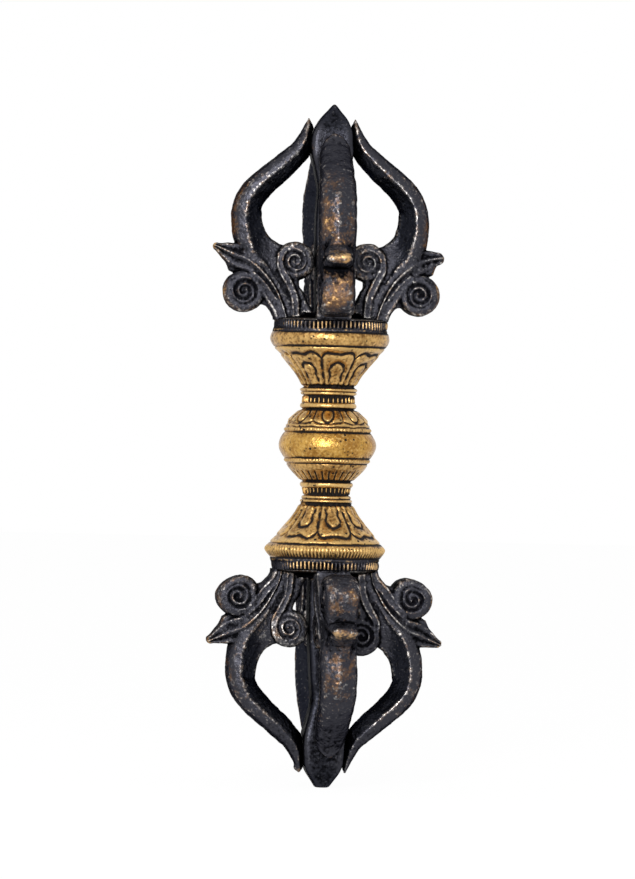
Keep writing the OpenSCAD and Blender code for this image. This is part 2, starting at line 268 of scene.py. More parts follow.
def ramp(tree, value, low, high):
    """A smooth mask: 0 at low, 1 at high."""
    limits = {"Value": value, "From Min": low, "From Max": high}
    return node(tree, "MapRange", limits, interpolation_type="SMOOTHSTEP").outputs["Result"]


def here_in(tree):
    """Where a point is on the object."""
    return node(tree, "TexCoord").outputs["Object"]


def noise(tree, at, scale, detail):
    """Smooth noise from 0 to 1."""
    return node(tree, "TexNoise", {"Vector": at, "Scale": scale, "Detail": detail}).outputs["Fac"]


def swing(tree, mask, much):
    """Noise moved so that it swings to both sides of 0."""
    return times(tree, math_of(tree, "SUBTRACT", mask, 0.5), much)


# %% Node group: hollows and ridges, with painted shade
RELIEF_INPUTS = {"Shallow": 0.02, "Deep": 0.1, "Low": 0.03, "High": 0.15, "Ragged": 0.05}
SPECKLE_SCALE = 1500.0

tree, given, result = new_group("hollows_ridges_shade_and_highlight", RELIEF_INPUTS, ("HollowAndShade", "Ridge"))
relief_grime_and_shade = node(tree, "Attribute", attribute_name="relief_grime_and_shade").outputs["Fac"]
speckle = noise(tree, here_in(tree), SPECKLE_SCALE, 3.0)
uneven = math_of(tree, "ADD", relief_grime_and_shade, swing(tree, speckle, given["Ragged"]))
hollow_and_shade = ramp(tree, times(tree, uneven, -1.0), given["Shallow"], given["Deep"])
ridge = ramp(tree, uneven, given["Low"], given["High"])
feed(tree, result, {"HollowAndShade": hollow_and_shade, "Ridge": ridge})

# %% [markdown]
# ## Grain of the mould
# A casting keeps the grain of its mould: bumps, and flecks where the patina caught, which on the bronze
# also serve as painted glints. The spots between are painted glitter on the gold. Separate noises would
# not agree, so one gives all three, and a broader one gives clouds of tone.

# %% Node group: grain of the mould
GRAIN_INPUTS = {"Scale": 2200.0, "Sparse": 0.6}
FLECK_EDGE = 0.12
GLITTER_LIMITS = (0.45, 0.33)
CLOUD_SCALE = 260.0
CLOUD_LIMITS = (0.35, 0.65)

tree, given, result = new_group("cast_grain", GRAIN_INPUTS, ("Height", "Fleck", "Glitter", "Cloud"))
here = here_in(tree)
sand = noise(tree, here, given["Scale"], 4.0)
full = math_of(tree, "ADD", given["Sparse"], FLECK_EDGE)
fleck = ramp(tree, sand, given["Sparse"], full)
# Painted glitter: spots where the sand is low, painted pale on the gilt.
clean = ramp(tree, sand, *GLITTER_LIMITS)
cloud = ramp(tree, noise(tree, here, CLOUD_SCALE, 3.0), *CLOUD_LIMITS)
feed(tree, result, {"Height": sand, "Fleck": fleck, "Glitter": clean, "Cloud": cloud})

# %% [markdown]
# ## Pin holes
# Gas leaves pin holes in a casting. As geometry each would cost many points, so they are dots in the cells
# of a random pattern, of which a share is kept.

# %% Node group: pin holes
tree, given, result = new_group("pin_holes", {"Scale": 900.0, "Size": 0.2, "Share": 0.6}, ("Pit",))
here = here_in(tree)
cell = node(tree, "TexVoronoi", {"Vector": here, "Scale": given["Scale"]}).outputs
chance = node(tree, "SeparateColor", {"Color": cell["Color"]}).outputs["Red"]
near = math_of(tree, "LESS_THAN", cell["Distance"], given["Size"])
some = math_of(tree, "GREATER_THAN", chance, given["Share"])
feed(tree, result, {"Pit": times(tree, near, some)})

# %% [markdown]
# ## Handling and painted shade
# Hands wear what stands far out and faces outwards. Wear is often painted, which needs an image. Here it
# comes from measures of every point: how far it lies from the middle line, which way it faces, and how far
# up or down it is. The same measures place painted shade on the sides that face the middle line.

# %% Node group: handling, what is measured
HAND_INPUTS = {"Near": 0.0135, "Far": 0.0262}


def vector_of(tree, operation, *vectors):
    """One sum on vectors. A length or a dot product comes out as a number."""
    made = node(tree, "VectorMath", dict(enumerate(vectors)), operation=operation)
    return made.outputs["Value" if operation in ("LENGTH", "DOT_PRODUCT") else "Vector"]


tree, given, result = new_group("handling_and_inner_shade", HAND_INPUTS, ("Rub", "Bare", "Tip", "InnerShade", "Scraped"))
here = here_in(tree)
normal = node(tree, "NewGeometry").outputs["Normal"]
flat = vector_of(tree, "MULTIPLY", here, (1, 1, 0))
reach = vector_of(tree, "LENGTH", flat)
faces_out = vector_of(tree, "DOT_PRODUCT", normal, vector_of(tree, "NORMALIZE", flat))
height = node(tree, "SeparateXYZ", {"Vector": here}).outputs["Z"]
faces_up = node(tree, "SeparateXYZ", {"Vector": normal}).outputs["Z"]
faces_on = times(tree, faces_up, math_of(tree, "SIGN", height))
limits = {"Value": reach, "From Min": given["Near"], "From Max": given["Far"]}
worn = node(tree, "MapRange", limits).outputs["Result"]

# %% [markdown]
# ## Wear and painted shade
# The measures become masks: brown rub and bare metal, more above than below, worn gold tips painted
# bright as a highlight, painted shade on the inner sides and near the middle line, scraped blades. One
# noise would break them into spots of one size, so there are two. In the table each measure comes with
# the values where its mask starts and where it is full.

# %% Node group: handling, where it wears
HALVES_MEET = (0.01, -0.01)
SPARED_BELOW = 0.25
RUB_START = 0.38
PATCHES = ((300.0, 2.0), (1300.0, 1.5))
INNER_SHADE_OUT = (0.15, -0.45)
CORE_REACH = (0.0065, 0.0035)
CORE_SHADE = 0.7

spared = times(tree, ramp(tree, height, *HALVES_MEET), SPARED_BELOW)
wear = math_of(tree, "SUBTRACT", math_of(tree, "SUBTRACT", worn, spared), RUB_START)
for scale, much in PATCHES:
    wear = math_of(tree, "ADD", wear, swing(tree, noise(tree, here, scale, 4.0), much))
far_up = math_of(tree, "ABSOLUTE", height)
WORN = {
    "Rub": ((wear, 0.0, 0.6), (faces_out, 0.55, 0.95)),
    "Bare": ((wear, 0.6, 0.85), (faces_out, 0.5, 0.9)),
    "Tip": ((reach, 0.0241, 0.0257), (faces_out, 0.1, 0.6), (faces_on, -0.3, 0.3), (wear, 0.05, 0.85)),
    "Scraped": ((far_up, 0.042, 0.047),),
}
for label, (first, *others) in WORN.items():
    mask = ramp(tree, *first)
    for other in others:
        mask = times(tree, mask, ramp(tree, *other))
    feed(tree, result, {label: mask})
# Painted shade: sides that face the middle line, and all close to it, are marked for the shaded patina.
core_shade = times(tree, ramp(tree, reach, *CORE_REACH), CORE_SHADE)
feed(tree, result, {"InnerShade": any_of(tree, ramp(tree, faces_out, *INNER_SHADE_OUT), core_shade)})
print("nodes in the handling group:", len(tree.nodes))

# %% [markdown]
# ## Gilt brass
# The grip is gilded brass, worn satin, straw to brown, with black wax in the chased lines and pin holes,
# painted highlights on the ridges and in pale spots, and painted shade in a few bands. One flat gold would
# look like plastic. Gold colours its reflections, and the black does not, so it takes the metal away as
# well as the colour.

# %% Material helpers
GRAIN_TALL = 0.0002


def blend(tree, mask, under, over):
    """Lays one colour over another by a mask."""
    return node(tree, "Mix", {0: mask, 6: under, 7: over}, data_type="RGBA").outputs[2]


def between(tree, mask, start, end):
    """A value that goes from start to end as a mask goes from 0 to 1."""
    return node(tree, "MapRange", {"Value": mask, "To Min": start, "To Max": end}).outputs["Result"]


def grain_bump(tree, strength, height):
    """A normal tilted by the grain."""
    inputs = {"Strength": strength, "Distance": GRAIN_TALL, "Height": height}
    return node(tree, "Bump", inputs).outputs["Normal"]


def group_in(tree, name, **values):
    """Places a shared group in a material, with its own values."""
    return node(tree, "Group", values, node_tree=bpy.data.node_groups[name]).outputs


def new_material(name):
    """A material with one Principled shader: the material, its tree and the shader's inputs."""
    made = bpy.data.materials.new(name)
    made.use_nodes = True
    print("material:", name)
    return made, made.node_tree, made.node_tree.nodes["Principled BSDF"].inputs


print("shared groups:", *bpy.data.node_groups.keys())

# %% Materials: gilt brass
# The black also paints shade, and the pale gold paints highlights.
BLACK_WAX_AND_SHADE = (0.012, 0.009, 0.008, 1)
HIGHLIGHT_GOLD = (0.80, 0.54, 0.21, 1)
WAX_ROUGH = 0.6
WAX_GLOSS = 0.1
SOIL_AND_SHADE_SHARE = 0.75
HIGHLIGHT_SHARE = 0.5
GILT_BUMP = 0.7


def gilt_brass(name, straw, brown, tarnish, dirt, rough_at):
    """Gold from straw to brown, tarnish flecks, pin holes, black in chased lines, painted highlights and
    shade.
    """
    made, tree, skin = new_material(name)
    folds = group_in(tree, "hollows_ridges_shade_and_highlight", Shallow=0.02, Deep=0.09, Low=0.02, High=0.1, Ragged=0.14)
    soiled_and_shaded = group_in(tree, "hollows_ridges_shade_and_highlight", Shallow=-0.02, Deep=0.06, Ragged=0.14)
    cast = group_in(tree, "cast_grain", Scale=1700.0, Sparse=0.5)
    holes = group_in(tree, "pin_holes", Scale=950.0, Size=0.28, Share=0.3)
    metal = blend(tree, cast["Cloud"], straw, brown)
    metal = blend(tree, times(tree, cast["Fleck"], dirt), metal, tarnish)
    # Tarnish near the hollows, which also takes in the bands of painted shade.
    metal = blend(tree, times(tree, soiled_and_shaded["HollowAndShade"], SOIL_AND_SHADE_SHARE), metal, tarnish)
    # Painted highlights: pale gold on the ridges and on the glitter spots.
    highlight = any_of(tree, folds["Ridge"], cast["Glitter"])
    metal = blend(tree, times(tree, highlight, HIGHLIGHT_SHARE), metal, HIGHLIGHT_GOLD)
    # Black wax in the chased lines and pin holes, and painted shade where the depth holds it.
    dark = any_of(tree, folds["HollowAndShade"], times(tree, holes["Pit"], cast["Cloud"]))
    feed(tree, skin, {
        "Base Color": blend(tree, dark, metal, BLACK_WAX_AND_SHADE),
        "Metallic": math_of(tree, "SUBTRACT", 1.0, dark),
        "Roughness": between(tree, dark, rough_at, WAX_ROUGH),
        "Specular IOR Level": WAX_GLOSS,
        "Normal": grain_bump(tree, GILT_BUMP, cast["Height"]),
    })
    return made


polished = gilt_brass(
    "gilt_polished", (0.61, 0.35, 0.08, 1), (0.38, 0.185, 0.037, 1), (0.2, 0.09, 0.02, 1),
    dirt=0.5, rough_at=0.27,
)
gilt = gilt_brass(
    "gilt_worn", (0.57, 0.335, 0.115, 1), (0.31, 0.16, 0.047, 1), (0.11, 0.055, 0.02, 1),
    dirt=0.75, rough_at=0.31,
)

# %% [markdown]
# ## Dark bronze
# The crowns are bronze under a blue-black patina, sandy but smoother on the scraped blades. Mixed at once,
# soot and gold would run together, so the finish is laid on in layers: painted shade on the inner sides,
# flecks painted as glints, brown wear, soot and painted shade in the hollows, polished ridges painted
# with highlights and glints, old gold, and worn gold tips painted bright as a highlight.

# %% Materials: dark bronze
# The shaded colour is painted shade, the glint and rubbed greys paint glints and sheen, the soot black also
# paints shade.
PATINA = (0.042, 0.042, 0.051, 1)
SHADED = (0.0115, 0.0135, 0.021, 1)
SOOT_AND_SHADE = (0.003, 0.003, 0.004, 1)
GLINT = (0.56, 0.53, 0.5, 1)
RUBBED_AND_SHEEN = (0.30, 0.29, 0.285, 1)
COPPER = (0.27, 0.17, 0.1, 1)
BROWN_WEAR = (0.145, 0.084, 0.05, 1)
OLD_GOLD = (0.52, 0.31, 0.13, 1)
BRIGHT_GOLD = (0.72, 0.46, 0.21, 1)
DULL_EDGE = (0.25, 0.25, 0.25, 1)
SHADE_SHARE = 0.75
GLINT_FLECK_SHARE = 0.5
RIDGE_SHARE = 0.65
SCRAPED_SMOOTH = 0.6
SCRAPED_SHINE = 0.08
PATINA_ROUGH = 0.46
RIDGE_ROUGH = 0.34


def dark_bronze(name, gold_on_ridges):
    """Patina, soot and painted shade, polished ridges painted brighter, worn patches far from the middle
    line.
    """
    made, tree, skin = new_material(name)
    low, high = (0.03, 0.12) if gold_on_ridges else (0.05, 0.19)
    folds = group_in(tree, "hollows_ridges_shade_and_highlight", Shallow=0.0, Deep=0.16, Low=low, High=high, Ragged=0.3)
    cast = group_in(tree, "cast_grain", Scale=2000.0)
    hand = group_in(tree, "handling_and_inner_shade")
    # Painted shade: the inner sides and the middle take the darker shaded patina.
    coat = blend(tree, times(tree, hand["InnerShade"], SHADE_SHARE), PATINA, SHADED)
    sandy = math_of(tree, "SUBTRACT", 1.0, times(tree, hand["Scraped"], SCRAPED_SMOOTH))
    # Painted glints: flecks of light metal over the sand, fewer on the scraped blades.
    coat = blend(tree, times(tree, cast["Fleck"], times(tree, sandy, GLINT_FLECK_SHARE)), coat, RUBBED_AND_SHEEN)
    coat = blend(tree, hand["Rub"], coat, BROWN_WEAR)
    # Soot in the hollows, and painted shade where it was given as depth.
    coat = blend(tree, folds["HollowAndShade"], coat, SOOT_AND_SHADE)
    if gold_on_ridges:
        coat = blend(tree, times(tree, folds["Ridge"], cast["Cloud"]), coat, BRIGHT_GOLD)
    else:
        # Ridges polished by hands, and painted lighter as their highlight.
        worn = blend(tree, cast["Cloud"], RUBBED_AND_SHEEN, COPPER)
        coat = blend(tree, times(tree, folds["Ridge"], RIDGE_SHARE), coat, worn)
        # Painted glints on the sharpest ridges.
        sharp = group_in(tree, "hollows_ridges_shade_and_highlight", Low=0.05, High=0.2, Ragged=0.3)
        spark = group_in(tree, "cast_grain", Scale=1600.0, Sparse=0.49)
        coat = blend(tree, times(tree, sharp["Ridge"], spark["Fleck"]), coat, GLINT)
    flecks = any_of(tree, times(tree, hand["Rub"], cast["Fleck"]), hand["Bare"])
    flecks = times(tree, flecks, math_of(tree, "SUBTRACT", 1.0, folds["HollowAndShade"]))
    coat = blend(tree, flecks, coat, OLD_GOLD)
    rough = between(tree, folds["Ridge"], PATINA_ROUGH, RIDGE_ROUGH)
    # Worn gold on the tips, painted bright to stand for a highlight.
    feed(tree, skin, {
        "Base Color": blend(tree, hand["Tip"], coat, BRIGHT_GOLD),
        "Metallic": 1.0,
        "Specular Tint": DULL_EDGE,
        "Roughness": math_of(tree, "SUBTRACT", rough, times(tree, hand["Scraped"], SCRAPED_SHINE)),
        "Normal": grain_bump(tree, sandy, cast["Height"]),
    })
    return made


bronze = dark_bronze("dark_bronze", False)
beaded = dark_bronze("dark_bronze_gilt_beads", True)

# %% [markdown]
# ## The spine rod
# The rod inside is hidden. It could be modelled again, but its CAD shape is right, so it only gets a
# finish: drawn brass, with noise stretched into fine lines.

# %% Spine rod
DRAWN_OUT = (6000, 6000, 90)
DRAWN_DARK = (0.46, 0.31, 0.12, 1)
DRAWN_LIGHT = (0.62, 0.45, 0.2, 1)

drawn, tree, skin = new_material("spine_brass")
stretched = node(tree, "Mapping", {"Vector": here_in(tree), "Scale": DRAWN_OUT}).outputs[0]
streak = noise(tree, stretched, 1.0, 3.0)
feed(tree, skin, {
    "Base Color": blend(tree, streak, DRAWN_DARK, DRAWN_LIGHT),
    "Roughness": between(tree, streak, 0.25, 0.45),
    "Metallic": 1.0,
})
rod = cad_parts["spine_rod"]
rod.data.materials.clear()
rod.data.materials.append(drawn)
print("spine rod:", len(rod.data.vertices), "points")

# %% [markdown]
# ## From numbers to a piece
# Every piece ends up as points and faces. The relief of each point could be baked to an image, but
# comparing it with a blurred copy of the surface puts it straight on the mesh.

# %% Finish a piece
BLUR_SHARE = 0.6
print("blur share:", BLUR_SHARE)


def stand_of(mesh, passes=50):
    """How far each point stands above or below the surface around it, in mm."""
    count = len(mesh.vertices)
    place = np.empty(count * 3)
    mesh.vertices.foreach_get("co", place)
    place = place.reshape(-1, 3)
    ends = np.empty(len(mesh.edges) * 2, int)
    mesh.edges.foreach_get("vertices", ends)
    a, b = ends[0::2], ends[1::2]
    share = (np.bincount(a, minlength=count) + np.bincount(b, minlength=count))[:, None]
    soft = place.copy()
    for _ in range(passes):
        near = [np.bincount(a, soft[b, k], count) + np.bincount(b, soft[a, k], count) for k in range(3)]
        soft = (1 - BLUR_SHARE) * soft + BLUR_SHARE * np.stack(near, 1) / share
    way = np.empty(count * 3)
    mesh.vertices.foreach_get("normal", way)
    return ((place - soft) * way.reshape(-1, 3)).sum(1) / MM


def finish_piece(name, points, faces, material, stand=None, soot_and_shade=0.0):
    """Makes a smooth piece from points in mm, in place of a CAD node. Soot and painted shade count as depth.
    """
    points, faces = np.asarray(points, float), np.asarray(faces)
    a, b, c, d = (points[faces[:, k]] for k in range(4))
    inside_out = np.einsum("ij,ij->i", a, np.cross(b, c) + np.cross(c, d)).sum() < 0
    mesh = bpy.data.meshes.new(name)
    mesh.from_pydata(points * MM, [], (faces[:, ::-1] if inside_out else faces).tolist())
    mesh.update()
    stand = (stand_of(mesh) if stand is None else stand) - soot_and_shade
    mesh.attributes.new("relief_grime_and_shade", "FLOAT", "POINT").data.foreach_set("value", stand.astype(np.float32))
    mesh.shade_smooth()
    mesh.materials.append(material)
    piece = add_object(name + "_finished", mesh)
    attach(piece, "root")
    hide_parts(name)
    spread = [round(float(v), 2) for v in np.percentile(stand, (2, 98))]
    print(f"{name}: {len(mesh.vertices)} points, relief {spread} mm")


# %% [markdown]
# ## Curves and soft lines
# An outline is a smooth curve through a few measured points. A curve object would do for one shape, but
# plain numbers serve thousands of points at once, and so do soft steps, soft lines and the waviness of
# hand work.

# %% Curves and soft lines


def smooth_line(x, points):
    """A smooth curve through a few points given as (x, y), at every x."""
    px, py = np.array(points, float).T
    slope = np.gradient(py, px)
    i = np.clip(np.searchsorted(px, x) - 1, 0, len(px) - 2)
    wide = px[i + 1] - px[i]
    t = np.clip((x - px[i]) / wide, 0, 1)
    start = py[i] * (1 + 2 * t) * (1 - t) ** 2 + slope[i] * wide * t * (1 - t) ** 2
    return start + py[i + 1] * t * t * (3 - 2 * t) + slope[i + 1] * wide * t * t * (t - 1)


def fade(x, low, high):
    """0 below low, 1 above high, smooth between."""
    t = np.clip((x - low) / (high - low), 0, 1)
    return t * t * (3 - 2 * t)


def line(away, wide):
    """A soft line: 1 on it, 0 a little more than its width away."""
    return np.exp(-((away / wide) ** 2))


def hammered(rise, turn, size):
    """The slight waviness of hand work, in mm."""
    around = np.radians(turn)
    wave = np.sin(3 * around + 1.3 * rise) + np.sin(5 * around - 2.1 * rise + 1)
    return size * (wave + np.sin(11 * around + 0.7 * rise)) / 3


print("a soft step at a quarter:", fade(0.25, 0, 1))


# %% [markdown]
# ## Turned rings
# A ring is a turned band with chasing outside. A lathe curve gives the band alone, and a bump map leaves
# its outline smooth, so it is a net of rows and columns with the relief added to each radius, closed by a
# plain bore. Angles run from the front, to the right.

# %% Turn a ring
HALVES = ((1, "upper"), (-1, "lower"))
FACING = math.degrees(math.atan2(toward.y, toward.x))
ROW_STEP = 0.1
ROWS_AT_LEAST = 8
COLUMNS = 720


def ring_net(outside, z, angle):
    """The points and faces of a ring: its outside, row by row, and a plain bore."""
    hole = np.full((1, outside.shape[1]), bore)
    radii = np.vstack([hole, outside, hole])
    z = np.vstack([z[:1], z, z[-1:]])
    places = np.broadcast_arrays(radii * np.cos(angle), radii * np.sin(angle), z)
    rows, columns = radii.shape
    row, column = np.meshgrid(np.arange(rows), np.arange(columns), indexing="ij")
    here, up = row * columns, (row + 1) % rows * columns
    side = (column + 1) % columns
    faces = np.stack([here + column, here + side, up + side, up + column], 2)
    return np.stack(places, 2).reshape(-1, 3), faces.reshape(-1, 4)


print("front of the rings at", round(FACING, 2), "degrees")

# %% [markdown]
# ## Grime and painted shade on the rings
# Old wax and soot lie in the joints and in patchy bands, but not on the side where the thumb lies. The
# bands at the foot of the lotus cups and in the crown seats are painted shade. Grime and shade could be a
# second material, but counted as depth they are blackened together with the hollows.

# %% Grime
CLEAN_SIDE = 275
CLEAN_INSIDE = 23
CLEAN_OUTSIDE = 47
CLEAN_LEFT = 0.08
print("rubbed clean at", CLEAN_SIDE, "degrees")


def blurred(radii, passes=40):
    """A net of radii, blurred along its rows and round its columns."""
    for _ in range(passes):
        tall = np.vstack([radii[:1], radii, radii[-1:]])
        radii = 0.25 * tall[:-2] + 0.5 * radii + 0.25 * tall[2:]
        radii = 0.25 * np.roll(radii, 1, 1) + 0.5 * radii + 0.25 * np.roll(radii, -1, 1)
    return radii


def less_grime_and_shade(outside, rise, turn, bands):
    """How far each point of a ring stands out, in mm, less the grime and painted shade on it."""
    stand = outside - blurred(outside)
    angle = np.radians(turn + FACING)
    for at, wide, much in bands:
        patchy = 0.75 + 0.25 * np.sin(3 * angle + 5 * at) + 0.2 * np.sin(11 * angle - 2 * at)
        stand = stand - much * patchy * line(rise - at, wide)
    dirty = CLEAN_LEFT + (1 - CLEAN_LEFT) * fade(abs(turn - CLEAN_SIDE), CLEAN_INSIDE, CLEAN_OUTSIDE)
    stand = np.where(stand < 0, stand * dirty, stand)
    return np.pad(stand, ((1, 1), (0, 0))).ravel()


# %% Ring and pair of rings
JOINT_WIDE = 0.2
SOOTY = (0.35, 0.35)


def turned_ring(
    name, half, low, high, profile, chasing, columns=COLUMNS,
    material=gilt, slot="gilt_brass", grime=(), joints=SOOTY,
):
    """A ring from low to high, on the upper half (1) or the lower (-1).

    Each band of grime and painted shade is a height, a width and an amount. The joints are grime at both
    ends.
    """
    tall = high - low
    rise = np.linspace(0, tall, max(ROWS_AT_LEAST, round(tall / ROW_STEP)) + 1)[:, None]
    turn = np.linspace(0, 360, columns, endpoint=False)[None, :]
    radius = smooth_line(rise[:, 0], profile)[:, None]
    outside = radius + chasing(rise, turn, radius)
    points, faces = ring_net(outside, half * (rise + low), np.radians(turn + FACING))
    bands = [(0, JOINT_WIDE, joints[0]), (tall, JOINT_WIDE, joints[1]), *grime]
    finish_piece(name, points, faces, material, less_grime_and_shade(outside, rise, turn, bands))


def ring_pair(name, low, high, profiles, chasings, columns=(COLUMNS, COLUMNS), **look):
    """The upper and the lower ring of one kind, each with its own outline and chasing."""
    for (half, end), profile, chasing, count in zip(HALVES, profiles, chasings, columns):
        turned_ring(f"{end}_{name}", half, low, high, profile, chasing, count, **look)


print("a ring has", COLUMNS, "columns and a row every", ROW_STEP, "mm")

# %% [markdown]
# ## Globe
# The middle of the grip is a plain bulge, polished by the hand. A sphere would be too round and even, so
# it has a measured outline, some waviness, and a line at each cap.

# %% Globe
GLOBE_CUT = 0.1
GLOBE_LINE = 0.2


def globe_chasing(rise, turn, radius):
    edge = np.minimum(rise, 2 * globe_top - rise)
    return hammered(rise, turn, size=0.05) - GLOBE_CUT * line(edge, GLOBE_LINE)


globe_profile = [
    (0.0, 9.4), (0.5, 9.75), (1.4, 10.3), (2.4, 10.65), (3.0, 10.7), (4.0, 10.5), (5.0, 10.0), (5.8, 9.45)
]
turned_ring(
    "globe", 1, -globe_top, globe_top, globe_profile, globe_chasing, material=polished, joints=(0.08, 0.06)
)

# %% [markdown]
# ## Globe caps
# A domed cap sits on each side of the globe, behind a beaded line: eight petals with round tongues above,
# strokes of a chisel below. Petals could be copied round, but cut as distances they bend with the dome,
# and each strays a little.

# %% Chased lines
CAP_BEADS = 76
CAP_BEADS_AT = 0.5


def beaded_line(rise, turn):
    """A fine raised thread cut into beads, with a groove above it."""
    cut = 0.5 + 0.5 * np.cos(np.radians(turn) * CAP_BEADS)
    thread = line(rise - CAP_BEADS_AT, 0.26) * (0.02 + 0.16 * cut)
    return thread - 0.2 * line(rise - CAP_BEADS_AT - 0.6, 0.16)


def from_petal(turn, count, first):
    """Degrees from the middle line of the nearest petal."""
    pitch = 360 / count
    return (turn - first + pitch / 2) % pitch - pitch / 2


def by_hand(rise, turn):
    """How far a chased line strays, in degrees and in mm, because it was cut by hand."""
    around = np.radians(turn)
    aside = np.sin(5 * around + 0.7 * rise) + 0.6 * np.sin(9 * around - 0.5 * rise + 2)
    return 0.5 * aside, 0.06 * np.sin(9 * around + 2.3) + 0.04 * np.sin(21 * around + 0.5)


print("chased lines stray by up to", round(by_hand(0, np.arange(360))[1].max(), 2), "mm")

# %% Globe caps
CAP_PETALS = 8
CAP_STROKES = 30
STROKES_FIRST = 4
CAP_NECK_CUT = 0.4
CAP_TONGUE = 1.3
CAP_TONGUE_AT = 3.6
CAP_PETAL_END = 1.8


def upper_cap_chasing(rise, turn, radius):
    aside, higher = by_hand(rise, turn)
    off, rise = from_petal(turn + aside, CAP_PETALS, 0), rise + higher
    pitch = 360 / CAP_PETALS
    gap = np.radians(pitch / 2 - abs(off)) * radius
    tongue = CAP_TONGUE - np.hypot(np.radians(off) * radius, 0.9 * (rise - CAP_TONGUE_AT))
    petal = np.minimum(gap, rise - CAP_PETAL_END - 0.6 * (2 * off / pitch) ** 4)
    cut = 0.36 * line(tongue, 0.27) + 0.26 * line(petal, 0.25) + CAP_NECK_CUT * fade(rise, 4.5, 5.0)
    return hammered(rise, turn, size=0.03) + beaded_line(rise, turn) - cut + 0.1 * fade(tongue, 0, 0.4)


def lower_cap_chasing(rise, turn, radius):
    across = np.radians(from_petal(turn, CAP_STROKES, STROKES_FIRST)) * radius
    long = fade(rise, 2.4, 3.1) * (1 - fade(rise, 4.5, 4.8))
    cut = 0.38 * line(across, 0.22) * long + CAP_NECK_CUT * fade(rise, 4.5, 4.9)
    return hammered(rise, turn, size=0.03) + beaded_line(rise, turn) - cut


upper_cap = [(0, 9.4), (0.5, 9.45), (1.0, 9.35), (1.8, 9.1), (2.7, 8.6), (3.4, 7.9), (4.2, 7.0), (5.1, 6.1)]
lower_cap = [(0, 9.35), (0.5, 9.3), (1.1, 9.0), (2.2, 8.35), (3.2, 7.45), (4.3, 6.35), (5.1, 5.6)]
ring_pair(
    "globe_cap", globe_top, cap_top, (upper_cap, lower_cap), (upper_cap_chasing, lower_cap_chasing),
    grime=[(5.1, 0.5, 0.3)], joints=(0.1, 0.35),
)

# %% [markdown]
# ## Neck collars
# Between cap and lotus is a neck: a round ring, a band of ticks, two thin rings. Separate tori would leave
# seams, so the rings are half ellipses added to the radius, with deep dark lines between them that read
# from far off.

# %% Neck collars
NECK_TICKS = 34
NECK_RINGS = ((0.72, 0.6, 0.42), (3.36, 0.37, 0.46), (4.14, 0.37, 0.46))
TICK_TALL = 0.5
BAND_SUNK = 0.22


def neck_chasing(rise, turn, radius):
    """Three round rings, each with its height, half width and depth, and a sunk band of ticks."""
    tick = 0.5 + 0.5 * np.cos(np.radians(turn) * NECK_TICKS)
    band = fade(rise, 1.25, 1.5) * (1 - fade(rise, 2.6, 2.85))
    rings = sum(deep * np.sqrt(np.clip(1 - ((rise - at) / wide) ** 2, 0, 1)) for at, wide, deep in NECK_RINGS)
    return hammered(rise, turn, size=0.03) + rings + band * (TICK_TALL * tick**2 - BAND_SUNK)


upper_neck = [(0, 5.8), (0.7, 5.8), (1.6, 5.6), (2.8, 5.55), (3.4, 5.7), (4.1, 5.85), (4.6, 5.8)]
lower_neck = [(0, 5.5), (0.7, 5.4), (1.6, 5.1), (2.8, 4.9), (3.4, 5.0), (4.1, 5.25), (4.6, 5.4)]
ring_pair(
    "neck_collar", cap_top, collar_top, (upper_neck, lower_neck), 2 * (neck_chasing,),
    grime=[(2.6, 0.45, 0.35)], joints=(0.35, 0.3),
)

# %% [markdown]
# ## Lotus cups
# The cups are lotus flowers: eight panels with two-lobed ends, each with a round-ended tongue. A texture
# would stretch over the cone. Here each point knows how far the nearest outline is and is sunk near it, so
# the line keeps one width.

# %% Lotus cups
LOTUS_PETALS = 8
PETAL_FIRST = 12
PETAL_END = 7.35
PETAL_LOBE = 0.22
TONGUE_END = 5.25
TONGUE_BLUNT = 2.5
TONGUE_HALF = 0.182
LOTUS_CUT = 0.42


def lotus_chasing(rise, turn, radius):
    aside, higher = by_hand(rise, turn)
    off, rise = from_petal(turn + aside, LOTUS_PETALS, PETAL_FIRST), rise + higher
    share = off / (180 / LOTUS_PETALS)
    gap = np.radians(180 / LOTUS_PETALS - abs(off)) * radius
    end = PETAL_END - PETAL_LOBE * np.cos(2 * np.pi * share) - fade(abs(share), 0.72, 1.05) ** 2
    panel = np.minimum(gap, end - rise)
    across = abs(np.radians(off) * radius)
    wide = TONGUE_HALF * radius
    past = np.maximum(rise - TONGUE_END + wide, 0)
    tongue = wide - (across**TONGUE_BLUNT + past**TONGUE_BLUNT) ** (1 / TONGUE_BLUNT)
    deep = LOTUS_CUT * (0.8 + 0.3 * np.sin(np.radians(turn * 23)) * np.sin(2.9 * rise))
    cut = deep * np.maximum(line(panel, 0.45), line(tongue, 0.47))
    ends = 0.5 * line(rise - 0.3, 0.35) + 0.3 * line(rise - (cup_top - collar_top), 0.2)
    swell = 0.14 * fade(panel, 0, 0.8) + 0.1 * fade(tongue, 0.05, 0.6)
    return hammered(rise, turn, size=0.04) + swell - cut - ends


cup_profile = [
    (0, 5.8), (0.9, 6.1), (1.8, 6.55), (2.6, 7.05), (3.5, 7.7), (4.4, 8.45), (5.3, 9.2), (6.2, 9.95),
    (7.0, 10.65), (7.9, 11.5), (8.5, 12.0), (8.9, 12.25)
]
# The band at the foot of the cup is painted shadow, counted as depth.
ring_pair(
    "lotus_cup", collar_top, cup_top, 2 * (cup_profile,), 2 * (lotus_chasing,),
    grime=[(0.2, 0.45, 0.25)], joints=(0.35, 0.2),
)

# %% [markdown]
# ## Moon discs
# Each cup opens into a thick rim, plain above and milled like a coin below. A bevelled cylinder would be
# too true, so both have a measured outline and hand work, and the milled one has more columns to stay
# crisp.

# %% Moon discs
MILLED_TICKS = 100
MILLED_CUT = 0.2


def plain_disc_chasing(rise, turn, radius):
    return hammered(rise, turn, size=0.07)


